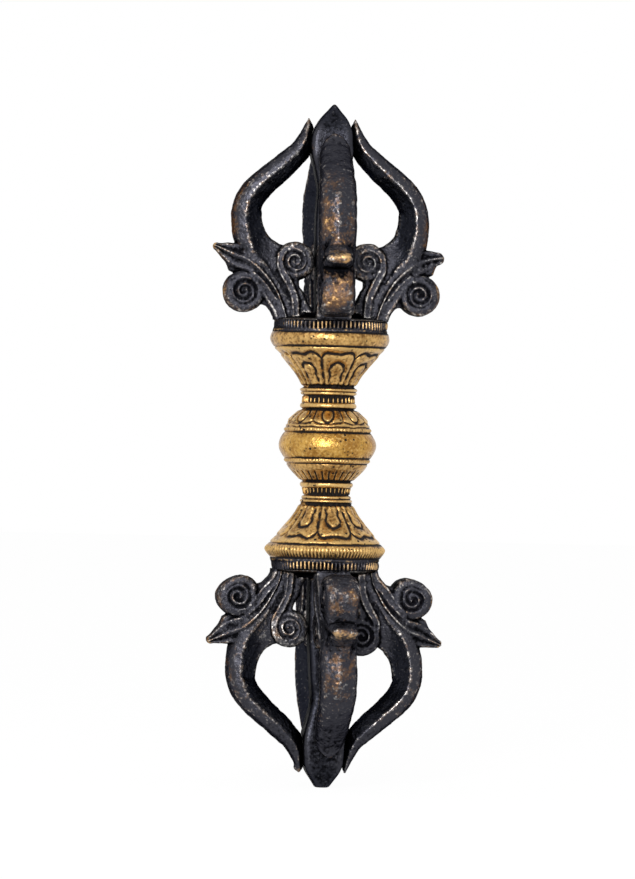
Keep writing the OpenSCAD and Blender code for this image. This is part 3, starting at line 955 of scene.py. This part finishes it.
def milled_disc_chasing(rise, turn, radius):
    groove = line(from_petal(turn, MILLED_TICKS, 0), 0.75)
    across = fade(rise, 0.35, 0.9) * (1 - fade(rise, 2.6, 3.0))
    return hammered(rise, turn, size=0.07) - MILLED_CUT * groove * across


upper_disc = [(0, 12.2), (0.5, 12.6), (1.2, 12.95), (1.8, 13.08), (2.4, 13.0), (2.9, 12.85), (3.2, 12.7)]
lower_disc = [(0, 12.2), (0.4, 12.65), (0.9, 13.1), (1.4, 13.25), (1.9, 13.05), (2.5, 12.6), (3.2, 12.0)]
ring_pair(
    "moon_disc", cup_top, disc_top, (upper_disc, lower_disc), (plain_disc_chasing, milled_disc_chasing),
    columns=(COLUMNS, 1000), joints=(0.2, 0.35),
)

# %% [markdown]
# ## Bead rings
# Past each rim comes a dark band with a row of beads, gilded on top and worn flat on the left. Spheres
# would look too clean. As bumps of the net they run together, and the gold follows the ridges.

# %% Bead rings
RING_BEADS = 84
BEADS_LOST = 285
BEADS_LOST_WIDE = 30
BEAD_TALL = 0.45


def bead_chasing(rise, turn, radius):
    bead = 0.5 + 0.5 * np.cos(np.radians(turn + 0.6 * np.sin(np.radians(turn * 7))) * RING_BEADS)
    row = np.sqrt(np.clip(1 - ((rise - 1.6 - 0.12 * np.sin(np.radians(turn * 5))) / 0.9) ** 2, 0, 1))
    kept = 1 - 0.95 * line(turn - BEADS_LOST, BEADS_LOST_WIDE)
    return hammered(rise, turn, size=0.05) + BEAD_TALL * kept * bead * row


upper_ring = [(0, 12.6), (0.5, 12.55), (1.0, 12.25), (1.7, 12.2), (2.3, 12.25), (2.6, 12.35)]
lower_ring = [(0, 12.0), (0.5, 11.95), (1.0, 11.65), (1.7, 11.55), (2.3, 11.5), (2.6, 11.55)]
ring_pair(
    "bead_ring", disc_top, bead_top, (upper_ring, lower_ring), 2 * (bead_chasing,), columns=(1008, 1008),
    material=beaded, slot="dark_bronze", grime=[(2.6, 0.3, 0.15)], joints=(0.15, 0.2),
)

# %% [markdown]
# ## Crown seats
# The prongs grow from a plate dished like a saucer turned over, and their feet run down into it. A flat
# plate would leave a ledge. The lower crown is a little slimmer at its foot.

# %% Crown seats
SEAT_DISH = [(0, 12.2), (0.2, 11.8), (0.5, 9.4), (0.8, 7.9), (1.2, 7.2), (1.7, 6.9)]
SEAT_SUNK = 0.08
LOWER_SLIM = 0.95
seat_drop = seat_top - bead_top


def slimmer(reach):
    """How much slimmer the foot of the lower crown is, at a distance from the middle line."""
    return LOWER_SLIM * fade(reach, 9.6, 12)


def seat_chasing(rise, turn, radius):
    return hammered(rise * 3, turn * 4, size=0.05) - SEAT_SUNK


lower_dish = [(rise, reach - slimmer(reach)) for rise, reach in SEAT_DISH]
# The band in the seat is painted shade, counted as depth.
ring_pair(
    "crown_seat", bead_top, seat_top, (SEAT_DISH, lower_dish), 2 * (seat_chasing,),
    material=bronze, slot="dark_bronze", grime=[(0.3, 0.7, 0.3)],
)

# %% [markdown]
# ## Wax for casting
# A prong was first modelled in wax. Sculpting would do that once, by hand. Fields do it again and again:
# each holds how far every small cube is from a surface, a soft minimum joins two with the fillet of a warm
# tool, and OpenVDB draws the skin where the field is zero.

# %% Field tools
CUBE = 0.15
print("cubes of wax:", CUBE, "mm")


def soft_join(a, b, blur):
    """Joins two fields, with a fillet about as wide as blur."""
    near = np.maximum(blur - abs(a - b), 0) / blur
    return np.minimum(a, b) - near * near * blur / 4


def soft_cut(a, b, blur):
    """Keeps what is inside both fields, with a rounded edge."""
    return -soft_join(-a, -b, blur)


def lumps(shape, seed, size, height):
    """A smooth random field, for the unevenness of hand work."""
    rough = np.random.default_rng(seed).normal(size=[int(n * CUBE / size) + 3 for n in shape])
    for axis, n in enumerate(shape):
        at = np.arange(n) * CUBE / size
        i = at.astype(int)
        t = (at - i).reshape([-1 if k == axis else 1 for k in range(3)])
        t = t * t * (3 - 2 * t)
        rough = np.take(rough, i, axis) * (1 - t) + np.take(rough, i + 1, axis) * t
    return (height * rough).astype(np.float32)


def skin_of(field, corner):
    """The points, in mm, and faces where a field is zero."""
    grid = openvdb.FloatGrid(background=1.0)
    grid.copyFromArray(np.ascontiguousarray(field, np.float32))
    points, faces = grid.convertToQuads(0.0)
    return points * CUBE + np.array(corner), faces


# %% [markdown]
# ## Place on a crown
# A prong is made in a frame of its own. An object's rotation could set it on its crown, but the crowns
# also lean, the upper one to the left and the lower one to the right, so the points are moved.

# %% Place on a crown
CROWN_TURN = {"upper": -1.5, "lower": 1.5}
LEAN = {"upper": -0.65, "lower": 0.5}
LEAN_FROM = 2
LEAN_FULL = 26
print("crowns turned by", CROWN_TURN, "degrees")


def on_crown(points, half, degrees):
    """Takes points from a prong's own frame, seat at 0 and prong along X, to their place."""
    c, s = np.cos(np.radians(degrees)), np.sin(np.radians(degrees))
    x, y, z = np.asarray(points).T
    return np.stack([c * x - s * half * y, s * x + c * half * y, half * (z + seat_top)], 1)


def leaned(points, end, more=0):
    """Leans points on a crown sideways, from the feet upwards."""
    points[:, 0] += (LEAN[end] + more) * fade(abs(points[:, 2]) - seat_top, LEAN_FROM, LEAN_FULL)
    return points


# %% [markdown]
# ## Centre prongs
# The middle prong is four-sided: a slim shank, a waist, and a faceted head, pointed above and blunt below.
# A stretched cube would have hard, true edges, so it is cut from wax with soft corners and lumps.

# %% Centre prongs
CENTRE_SHAPE = [
    (0, 3.5), (15.4, 3.5), (21, 3.3), (27.4, 3.0), (31, 3.7), (34.3, 4.5), (37.5, 4.5), (39.5, 4.3)
]
CENTRE_END = {
    "upper": [(40.8, 3.85), (42.7, 2.8), (44.4, 1.55), (46, 0.4)],
    "lower": [(40.8, 4.2), (42.4, 3.7), (44.4, 2.5), (46, 1.5)],
}
CENTRE_SEED = {"upper": 3, "lower": 4}
CENTRE_HALF = 5.2
CORNER_BLUR = 1.3
SIDE_SLOPE = 0.8
POINT_LEAN = {"upper": 0.45, "lower": 0.0}
# Painted shade on the shank, among the outer prongs, and on the head.
SHANK_SHADE = 0.1
HEAD_SHADE = {"upper": 0.085, "lower": 0.11}
centre_tall = point_top - seat_top


def centre_field(point, seed):
    """The wax of a centre prong, and the corner of its block."""
    across = np.arange(-CENTRE_HALF, CENTRE_HALF + CUBE, CUBE, np.float32)
    rise = np.arange(-3 * CUBE, centre_tall + 3 * CUBE, CUBE, np.float32)
    wide = smooth_line(rise, CENTRE_SHAPE + point).astype(np.float32)
    x, y = abs(across)[:, None, None], abs(across)[None, :, None]
    sides = soft_cut(x - wide, y - wide, CORNER_BLUR)
    ends = np.maximum(-rise, rise - centre_tall)[None, None, :]
    field = soft_cut(SIDE_SLOPE * sides, ends, 0.4)
    return field + lumps(field.shape, seed, 2.5, 0.05), (-CENTRE_HALF, -CENTRE_HALF, float(rise[0]))


for half, end in HALVES:
    points, faces = skin_of(*centre_field(CENTRE_END[end], CENTRE_SEED[end]))
    points = leaned(on_crown(points, half, CROWN_TURN[end]), end)
    tall = abs(points[:, 2]) - seat_top
    points[:, 0] += POINT_LEAN[end] * fade(tall, 38, 46)
    # Painted shade, counted as depth, going from the shank's amount to the head's.
    painted_depth = SHANK_SHADE + (HEAD_SHADE[end] - SHANK_SHADE) * fade(tall, 24, 32)
    finish_piece(f"{end}_centre_prong", points, faces, bronze, soot_and_shade=painted_depth)

# %% [markdown]
# ## The plan of an outer prong
# An outer prong is nearly flat, so it is planned on a sheet, distance from the middle line against height
# above the seat, with depth on both sides. A solid could be drawn, but curves on a sheet are easier to
# read from a photograph.

# %% Sheet and curves
SHEET_LOW = (3.2, -2.4)
SHEET_HIGH = (27.4, 43.6)
SHEET_HALF = 5.4
FAR_OFF = 1e9

reach_at = np.arange(SHEET_LOW[0], SHEET_HIGH[0], CUBE)
rise_at = np.arange(SHEET_LOW[1], SHEET_HIGH[1], CUBE)
aside_at = np.arange(-SHEET_HALF, SHEET_HALF + CUBE, CUBE)
REACH, RISE = np.meshgrid(reach_at, rise_at, indexing="ij")
ASIDE = abs(aside_at)[None, None, :].astype(np.float32)
print("cubes in the wax block:", REACH.size * aside_at.size)


def thin(sheet):
    """Makes a sheet of numbers ready to be set against the depth of the block."""
    return np.asarray(sheet, np.float32)[..., None]


def along(path):
    """For each place on the sheet: its share of a path, its offset (outwards), and what lies past an end."""
    index = np.zeros(REACH.shape, int)
    best = np.full(REACH.shape, FAR_OFF)
    for k, (x, y) in enumerate(path):
        far = (REACH - x) ** 2 + (RISE - y) ** 2
        closer = far < best
        best[closer] = far[closer]
        index[closer] = k
    steps = np.linalg.norm(np.diff(path, axis=0), axis=1)
    gone = np.concatenate([[0], np.cumsum(steps)])
    way = np.gradient(path, axis=0)
    way /= np.linalg.norm(way, axis=1)[:, None]
    x, y = REACH - path[index, 0], RISE - path[index, 1]
    ahead = x * way[index, 0] + y * way[index, 1]
    off = x * way[index, 1] - y * way[index, 0]
    share = (gone[index] + ahead) / gone[-1]
    past = np.maximum(-share, share - 1) * gone[-1]
    return np.clip(share, 0, 1), off, past


# %% [markdown]
# ## Blade
# The blade sweeps out and back in three arcs. Cut across, it is a shield with a rounded back, a sharp rib
# on each side and a narrow inner edge. A bevelled curve has one section all along, so each side is a half
# space, and the blade lies inside them all.

# %% Blade
FOOT = (9.2, 0.0)
BULGE = (18.6, 20.5)
SHOULDER = (8.1, 34.3)
TIP = (5.1, 42.5)
BLADE_DEPTH = [(0, 6.2), (0.47, 6.5), (0.68, 5.8), (0.82, 5.1), (0.91, 3.9), (0.965, 2.4), (1, 0.9)]
BLADE_WIDTH = [(0, 6.6), (0.47, 8.5), (0.68, 7.9), (0.82, 7.0), (0.91, 5.6), (0.965, 3.4), (1, 1.4)]
SHIELD = [
    (0, 0.5), (0.18, 0.49), (0.32, 0.44), (0.43, 0.33), (0.5, 0.0), (0.34, -0.26), (0.16, -0.45), (0, -0.5)
]
RIB_BLUR = 0.35
BACK_BLUR = 0.7


def arc(a, b, c, d, count=240):
    """A cubic curve from a to d, drawn towards b and c."""
    t = np.linspace(0, 1, count)[:, None]
    a, b, c, d = (np.array(p, float) for p in (a, b, c, d))
    return a * (1 - t) ** 3 + 3 * b * t * (1 - t) ** 2 + 3 * c * t * t * (1 - t) + d * t**3


def blade_path():
    """The middle line of the blade, from foot to tip."""
    lower = arc(FOOT, (FOOT[0], 0.3 * BULGE[1]), (BULGE[0], 0.44 * BULGE[1]), BULGE)
    climb = SHOULDER[1] - BULGE[1]
    midway = (BULGE[0] + SHOULDER[0]) / 2
    upper = arc(BULGE, (BULGE[0], BULGE[1] + 0.45 * climb), (midway, BULGE[1] + 0.6 * climb), SHOULDER)
    climb = TIP[1] - SHOULDER[1]
    inward = SHOULDER[0] + 0.6 * (TIP[0] - SHOULDER[0])
    beak = arc(SHOULDER, (inward, SHOULDER[1] + 0.17 * climb), (TIP[0], SHOULDER[1] + 0.5 * climb), TIP)
    return np.vstack([lower, upper[1:], beak[1:]])


def blade_field():
    share, off, past = along(blade_path())
    depth = smooth_line(share, BLADE_DEPTH)
    width = smooth_line(share, BLADE_WIDTH)
    field = None
    for (u0, v0), (u1, v1) in zip(SHIELD, SHIELD[1:]):
        x0, y0 = u0 * width, v0 * depth
        dx, dy = u1 * width - x0, v1 * depth - y0
        long = np.hypot(dx, dy)
        plane = (ASIDE - x0[:, :, None]) * (-dy / long)[:, :, None] + ((off - y0) * dx / long)[:, :, None]
        plane = plane.astype(np.float32)
        field = plane if field is None else soft_cut(field, plane, RIB_BLUR if u0 == 0.5 else BACK_BLUR)
    return soft_cut(field, thin(past - 0.3), 0.3)


blade = blade_field()
print("blade inside cubes:", int((blade < 0).sum()))

# %% [markdown]
# ## Volutes
# A volute is a rolled-up strand: a disc with a coiled wire on each side. A bevelled spiral would have to
# be merged with it. On the sheet the wire's distance from the middle shrinks steadily, so the nearest turn
# is known everywhere. One inner volute hangs low.

# %% Volutes
OUTER_EYE = (19.2, 4.3)
FRONT_EYE = (19.0, 3.5)
INNER_EYE = (7.9, 11.2)
HUNG_EYE = (7.9, 12.7)
COIL_FROM = 0.68
COIL_WIDE = 0.34
COIL_HIGH = 0.4
COIL_TURNS = 2
FACE_SUNK = 0.2


def volute(eye, radius, thick, winds, start, blur=1.3):
    """A disc with a coiled wire on its sunk face, winding inwards clockwise (1) or back (-1)."""
    x, y = REACH - eye[0], RISE - eye[1]
    far = np.hypot(x, y)
    angle = (winds * (math.radians(start) - np.arctan2(y, x))) % (2 * np.pi) / (2 * np.pi)
    pitch = COIL_FROM * radius / (COIL_TURNS + 0.3)
    wind = np.clip(np.round((COIL_FROM * radius - far) / pitch - angle), 0, COIL_TURNS - 1)
    worn = 0.75 + 0.25 * np.sin(0.9 * x + 1.3 * y)
    wire = worn * line(far - COIL_FROM * radius + (angle + wind) * pitch, COIL_WIDE)
    sunk = FACE_SUNK * (1 - fade(far, 0.58 * radius, 0.72 * radius))
    face = (ASIDE - (thick + COIL_HIGH * wire - sunk)[:, :, None]).astype(np.float32)
    return soft_cut(face, thin(far - radius), blur)


outer_volute = volute(OUTER_EYE, 4.5, 4.0, 1, 120)
front_volute = volute(FRONT_EYE, 4.7, 3.7, 1, 120, 2.0)
inner_volute = volute(INNER_EYE, 4.2, 3.5, -1, 0)
hung_volute = volute(HUNG_EYE, 4.3, 3.5, -1, 0)
print("volute cubes:", int((outer_volute < 0).sum()), int((inner_volute < 0).sum()))

# %% [markdown]
# ## Stems and leaves
# Stems lie side by side, with a groove between each two, and one ends in a veined leaf. Bevelled curves
# would lose the ribs and veins. One leaf is cut short, and those at the front and back are lips, worn
# round.

# %% Stems and leaves
EDGES = ((-0.7, 0.2, 0.35), (0.7, 0.2, 0.35))
VEINS = ((-0.85, 0.25, 0.16), (-0.4, -0.15, 0.2), (0, 0.4, 0.2), (0.4, -0.15, 0.2), (0.85, 0.25, 0.16))
LEAF_ROOT = [(9.7, -2.4), (10.8, 1.4), (13.2, 6.2)]
LEAF_THICK = [3.6, 3.6, 3.8, 3.9, 3.0, 2.3]


def through(points, count=120):
    """A smooth curve through a few points of the sheet."""
    points = np.array(points, float)
    at = np.linspace(0, len(points) - 1, count)
    steps = np.arange(len(points))
    return np.stack([smooth_line(at, list(zip(steps, points[:, k]))) for k in range(2)], 1)


def strand(points, halves, thick, ribs, blur=0.8):
    """A strand along a curve: half widths, half thicknesses, and ribs given by place, height and width."""
    share, off, past = along(through(points))
    half = smooth_line(share, list(zip(np.linspace(0, 1, len(halves)), halves)))
    deep = smooth_line(share, list(zip(np.linspace(0, 1, len(thick)), thick)))
    for at, high, wide in ribs:
        deep = deep + high * line(off / half - at, wide)
    rim = np.hypot(off, np.maximum(past, 0)) - half
    return soft_cut(ASIDE - thin(deep), thin(rim), blur)


volute_stem = strand(
    [(10.9, -2.4), (11.5, 0.2), (13.1, 2.6), (15.0, 5.4), (17.2, 7.8)],
    [1.4, 1.4, 1.3, 1.1, 0.9], [3.6, 3.6, 3.7, 3.9, 4.0], EDGES,
)
inner_stem = strand(
    [(7.7, -2.4), (7.9, 0.6), (8.3, 3.6), (9.6, 6.6), (11.2, 9.6), (11.2, 12.4)],
    [1.0, 1.0, 1.0, 1.0, 0.9, 0.7], [3.6, 3.6, 3.7, 3.7, 3.6, 3.4], EDGES,
)
leaf = strand(
    LEAF_ROOT + [(17.4, 10.6), (21.4, 12.4), (25.0, 14.0)],
    [1.2, 1.2, 1.5, 2.2, 2.8, 0.9], LEAF_THICK, VEINS, 1.5,
)
short_leaf = strand(
    LEAF_ROOT + [(17.4, 10.4), (21.0, 12.0), (23.5, 12.5)],
    [1.2, 1.2, 1.5, 2.2, 2.7, 1.4], LEAF_THICK, VEINS, 1.5,
)
front_leaf = strand(
    [(9.7, -2.4), (10.8, 1.0), (13.2, 5.4), (17.4, 8.7), (21.4, 10.2), (24.4, 11.2)],
    [1.2, 1.2, 1.5, 1.9, 1.7, 1.2], [3.6, 3.6, 3.8, 3.7, 3.5, 3.1], VEINS[:1], 2.4,
)
print("leaf cubes:", int((leaf < 0).sum()), int((short_leaf < 0).sum()), int((front_leaf < 0).sum()))

# %% [markdown]
# ## Web and foot
# A web closes the gaps between the stems, a notch piece joins leaf and volute, a foot and a heel sit on
# the seat. At the front and back a keel lies above the lip and a chin below it. Extruded outlines would
# leave sharp seams, so these are plates of wax.

# %% Web and foot
TRUNK_BLUR = 1.4


def plate(corners, thick, blur=0.8):
    """A plate with a straight-lined outline. Its half thickness may vary over the sheet."""
    corners = np.array(corners, float)
    far = np.full(REACH.shape, FAR_OFF)
    inside = np.zeros(REACH.shape, bool)
    for (x0, y0), (x1, y1) in zip(corners, np.roll(corners, -1, axis=0)):
        dx, dy = x1 - x0, y1 - y0
        t = np.clip(((REACH - x0) * dx + (RISE - y0) * dy) / (dx * dx + dy * dy), 0, 1)
        far = np.minimum(far, np.hypot(REACH - x0 - t * dx, RISE - y0 - t * dy))
        if dy:
            inside ^= ((y0 > RISE) != (y1 > RISE)) & (REACH < x0 + (RISE - y0) * dx / dy)
    return soft_cut(ASIDE - thin(thick), thin(np.where(inside, -far, far)), blur)


web = plate(
    [
        (6.9, -2.4), (7.2, 4.2), (7.1, 8.0), (8.6, 13.0), (9.4, 14.3), (11.4, 14.8), (13.1, 16.0),
        (14.2, 17.4), (14.9, 19.0), (15.5, 21.5), (18.0, 21.5), (19.0, 12.6), (20.5, 10.0), (17.0, 7.5),
        (15.6, 4.0), (14.0, 1.2), (12.5, -1.0), (12.3, -2.4)
    ],
    3.1 - 1.9 * fade(RISE, 10, 18),
)
notch = plate([(16.0, 7.0), (20.0, 7.6), (22.4, 8.9), (23.4, 11.4), (21.0, 13.4), (17.0, 12.0)], 2.6, 1.2)
heel = plate(
    [
        (11.0, -2.4), (12.4, -2.4), (12.4, -1.2), (12.8, 0.2), (13.6, 1.2), (15.2, 1.6), (18.0, 1.5),
        (18.0, 6.0), (13.0, 6.0)
    ],
    3.2, 1.2,
)
foot = plate([(4.1, -2.4), (4.1, 0.2), (5.3, 2.4), (6.4, 4.8), (7.4, 6.0), (8.4, 3.4), (9.4, -2.4)], 3.1, 0.9)
chin = plate([(16.0, 4.0), (23.5, 4.4), (23.2, 6.4), (22.5, 8.4), (22.2, 10.0), (17.0, 11.0)], 3.5, 2.0)
keel = plate(
    [
        (17.0, 25.5), (20.9, 25.5), (22.1, 21.5), (22.0, 17.5), (22.8, 14.4), (24.8, 12.4), (24.0, 11.0),
        (17.0, 11.0)
    ],
    3.3 - 2.0 * fade(RISE, 11, 17.5), 2.2,
)
trunk = soft_join(blade, web, TRUNK_BLUR)
front_trunk = soft_join(trunk, keel, TRUNK_BLUR)
print("trunk cubes:", int((trunk < 0).sum()))

# %% [markdown]
# ## Press the wax together
# The parts are pressed together and cut to the dish and the centre prong. Booleans would leave no fillet.
# Five waxes serve eight prongs: the common one, one with a short leaf, one with a low inner volute, one
# with a blunt tip and metal spilt at the foot, and an arched one for the front and back.

# %% Press the wax together
PRESS_BLUR = 0.3
LEAN_GAP = 0.03
HEAD_FROM = 24
STUB = (5.3, 41.5)
STUB_ROUND = 1.0
ARCH_TOP = 39.0
ARCH_BEND = 0.28


def pressed(wax, fan, under_fan, outer, inner):
    """A trunk with a leaf, what lies under it and two volutes, cut to the seat and to the centre prong."""
    for part in (volute_stem, fan, under_fan, inner_stem, outer, inner, heel, foot):
        wax = soft_join(wax, part, PRESS_BLUR)
    head = smooth_line(RISE, CENTRE_SHAPE + CENTRE_END["upper"]) + LEAN_GAP
    lean_plane = np.where(RISE > HEAD_FROM, head - REACH, -1)
    dish = smooth_line(RISE + seat_drop, SEAT_DISH)[:, :, None]
    seat = np.minimum(-RISE[:, :, None], dish - np.hypot(REACH[:, :, None], ASIDE))
    flat_cuts = np.maximum(-seat_drop - RISE, lean_plane)[:, :, None]
    return np.maximum(wax, np.maximum(seat, flat_cuts)).astype(np.float32)


side_wax = pressed(trunk, leaf, notch, outer_volute, inner_volute)
short_wax = pressed(trunk, short_leaf, notch, outer_volute, inner_volute)
hung_wax = pressed(trunk, leaf, notch, outer_volute, hung_volute)
front_wax = pressed(front_trunk, front_leaf, chin, front_volute, inner_volute)
stub = np.hypot(np.hypot(REACH - STUB[0], RISE - STUB[1])[:, :, None], ASIDE) - STUB_ROUND
spill = plate([(5.5, 0.3), (5.5, 4.0), (6.6, 5.6), (8.0, 8.0), (8.5, 0.3)], 3.0)
stub_wax = soft_join(soft_join(side_wax, stub.astype(np.float32), 0.5), spill, 0.5)
arch = RISE[:, :, None] - ARCH_TOP + ARCH_BEND * ASIDE**2
arched_wax = soft_cut(front_wax, arch.astype(np.float32), 0.6)
print("prong cubes:", [int((wax < 0).sum()) for wax in (side_wax, short_wax, hung_wax, stub_wax, arched_wax)])

# %% [markdown]
# ## Painted shade on the prongs
# Shade is painted where little light reaches: in the crook of the foot, along the bead ring, under the
# lip, thinly at the tips. The outer volutes and the leaves are made a little darker. Ambient occlusion
# would darken every corner alike, so each place is given. Two prongs have one more: painted shade on a
# volute, a painted sheen on a web.

# %% Painted shade on the prongs
# Depths in mm: painted shade, and on coils and leaves a plain darkening.
CROOK_SHADE = 0.3
RING_SHADE = 0.25
LEAF_DARKENING = 0.05
COIL_DARKENING = 0.05
UNDER_LIP_SHADE = {"upper": 0.13, "lower": 0.02}
TIP_SHADE = {"upper": 0.03, "lower": 0.08}
UNDER_LIP = (22.6, 8.0)
# The hung volute gets painted shade, and one web a painted sheen.
ODD_SHADE_AND_SHEEN = {"lower_right": (0.1, HUNG_EYE, 5.0), "lower_left": (-0.08, (12.5, 11.0), 4.0)}


def spot(reach, rise, middle, inside, outside):
    """A round spot on the sheet: 1 inside, 0 outside."""
    return 1 - fade(np.hypot(reach - middle[0], rise - middle[1]), inside, outside)


def prong_darkening_and_sheen(reach, rise, end, name):
    """How much painted shade and darkening lies on a prong, as depth in mm; below zero, a painted sheen."""
    soot_and_shade = CROOK_SHADE * (1 - fade(reach - 4.3 - 0.5 * rise, -0.5, 0.5)) * (1 - fade(rise, 4, 6))
    soot_and_shade += RING_SHADE * (1 - fade(rise, -1.6, -1.0)) * (reach < 14)
    soot_and_shade += UNDER_LIP_SHADE[end] * spot(reach, rise, UNDER_LIP, 1.0, 2.8)
    soot_and_shade += LEAF_DARKENING * fade(reach, 17, 20) * fade(rise, 8, 10) * (1 - fade(rise, 14, 16))
    soot_and_shade += TIP_SHADE[end] * fade(rise, 29, 35)
    soot_and_shade += COIL_DARKENING * spot(reach, rise, OUTER_EYE, 3.6, 4.6)
    if name in ODD_SHADE_AND_SHEEN:
        much, middle, wide = ODD_SHADE_AND_SHEEN[name]
        soot_and_shade += much * spot(reach, rise, middle, 0.7 * wide, wide)
    return soot_and_shade


# Prints the painted shade in the crook.
print("most soot in the crook:", float(prong_darkening_and_sheen(np.array([4.3]), np.array([1.5]), "upper", "")[0]), "mm")

# %% [markdown]
# ## Eight prongs
# No two castings are alike, and copies of one mesh would show it. So each prong gets its own lumps, and
# some stand askew: turned at the foot, turned at the blade, leaning.

# %% Outer prongs
SIDES = {"right": 0, "back": 90, "left": 180, "front": 270}
ASKEW = {"upper_back": (2.3, 2.3, 0), "upper_front": (0, 0, 0.4), "lower_front": (3.6, 1.2, 0.5)}
ODD_WAX = {"upper_right": short_wax, "lower_left": stub_wax, "lower_right": hung_wax}
BROAD_LUMPS = (1.6, 0.06)
FINE_LUMPS = (0.45, 0.028)

for half, end in HALVES:
    for number, (side, way) in enumerate(SIDES.items()):
        name = f"{end}_{side}"
        cast = arched_wax if side in ("front", "back") else ODD_WAX.get(name, side_wax)
        seed = number + 5 * half
        field = cast + lumps(cast.shape, 20 + seed, *BROAD_LUMPS) + lumps(cast.shape, 40 + seed, *FINE_LUMPS)
        points, faces = skin_of(field, (reach_at[0], rise_at[0], aside_at[0]))
        points = points[:, [0, 2, 1]]
        # Painted shade, darkening and sheen, counted as depth.
        painted_depth = prong_darkening_and_sheen(points[:, 0], points[:, 2], end, name)
        if end == "lower":
            points[:, 0] -= slimmer(points[:, 0]) * (1 - fade(points[:, 2], -1, 4))
        at_foot, at_blade, lean = ASKEW.get(name, (0, 0, 0))
        askew = at_blade + (at_foot - at_blade) * (1 - fade(points[:, 2], 11, 19))
        points = leaned(on_crown(points, half, way + CROWN_TURN[end] + askew), end, lean)
        finish_piece(f"{name}_prong", points, faces, bronze, soot_and_shade=painted_depth)
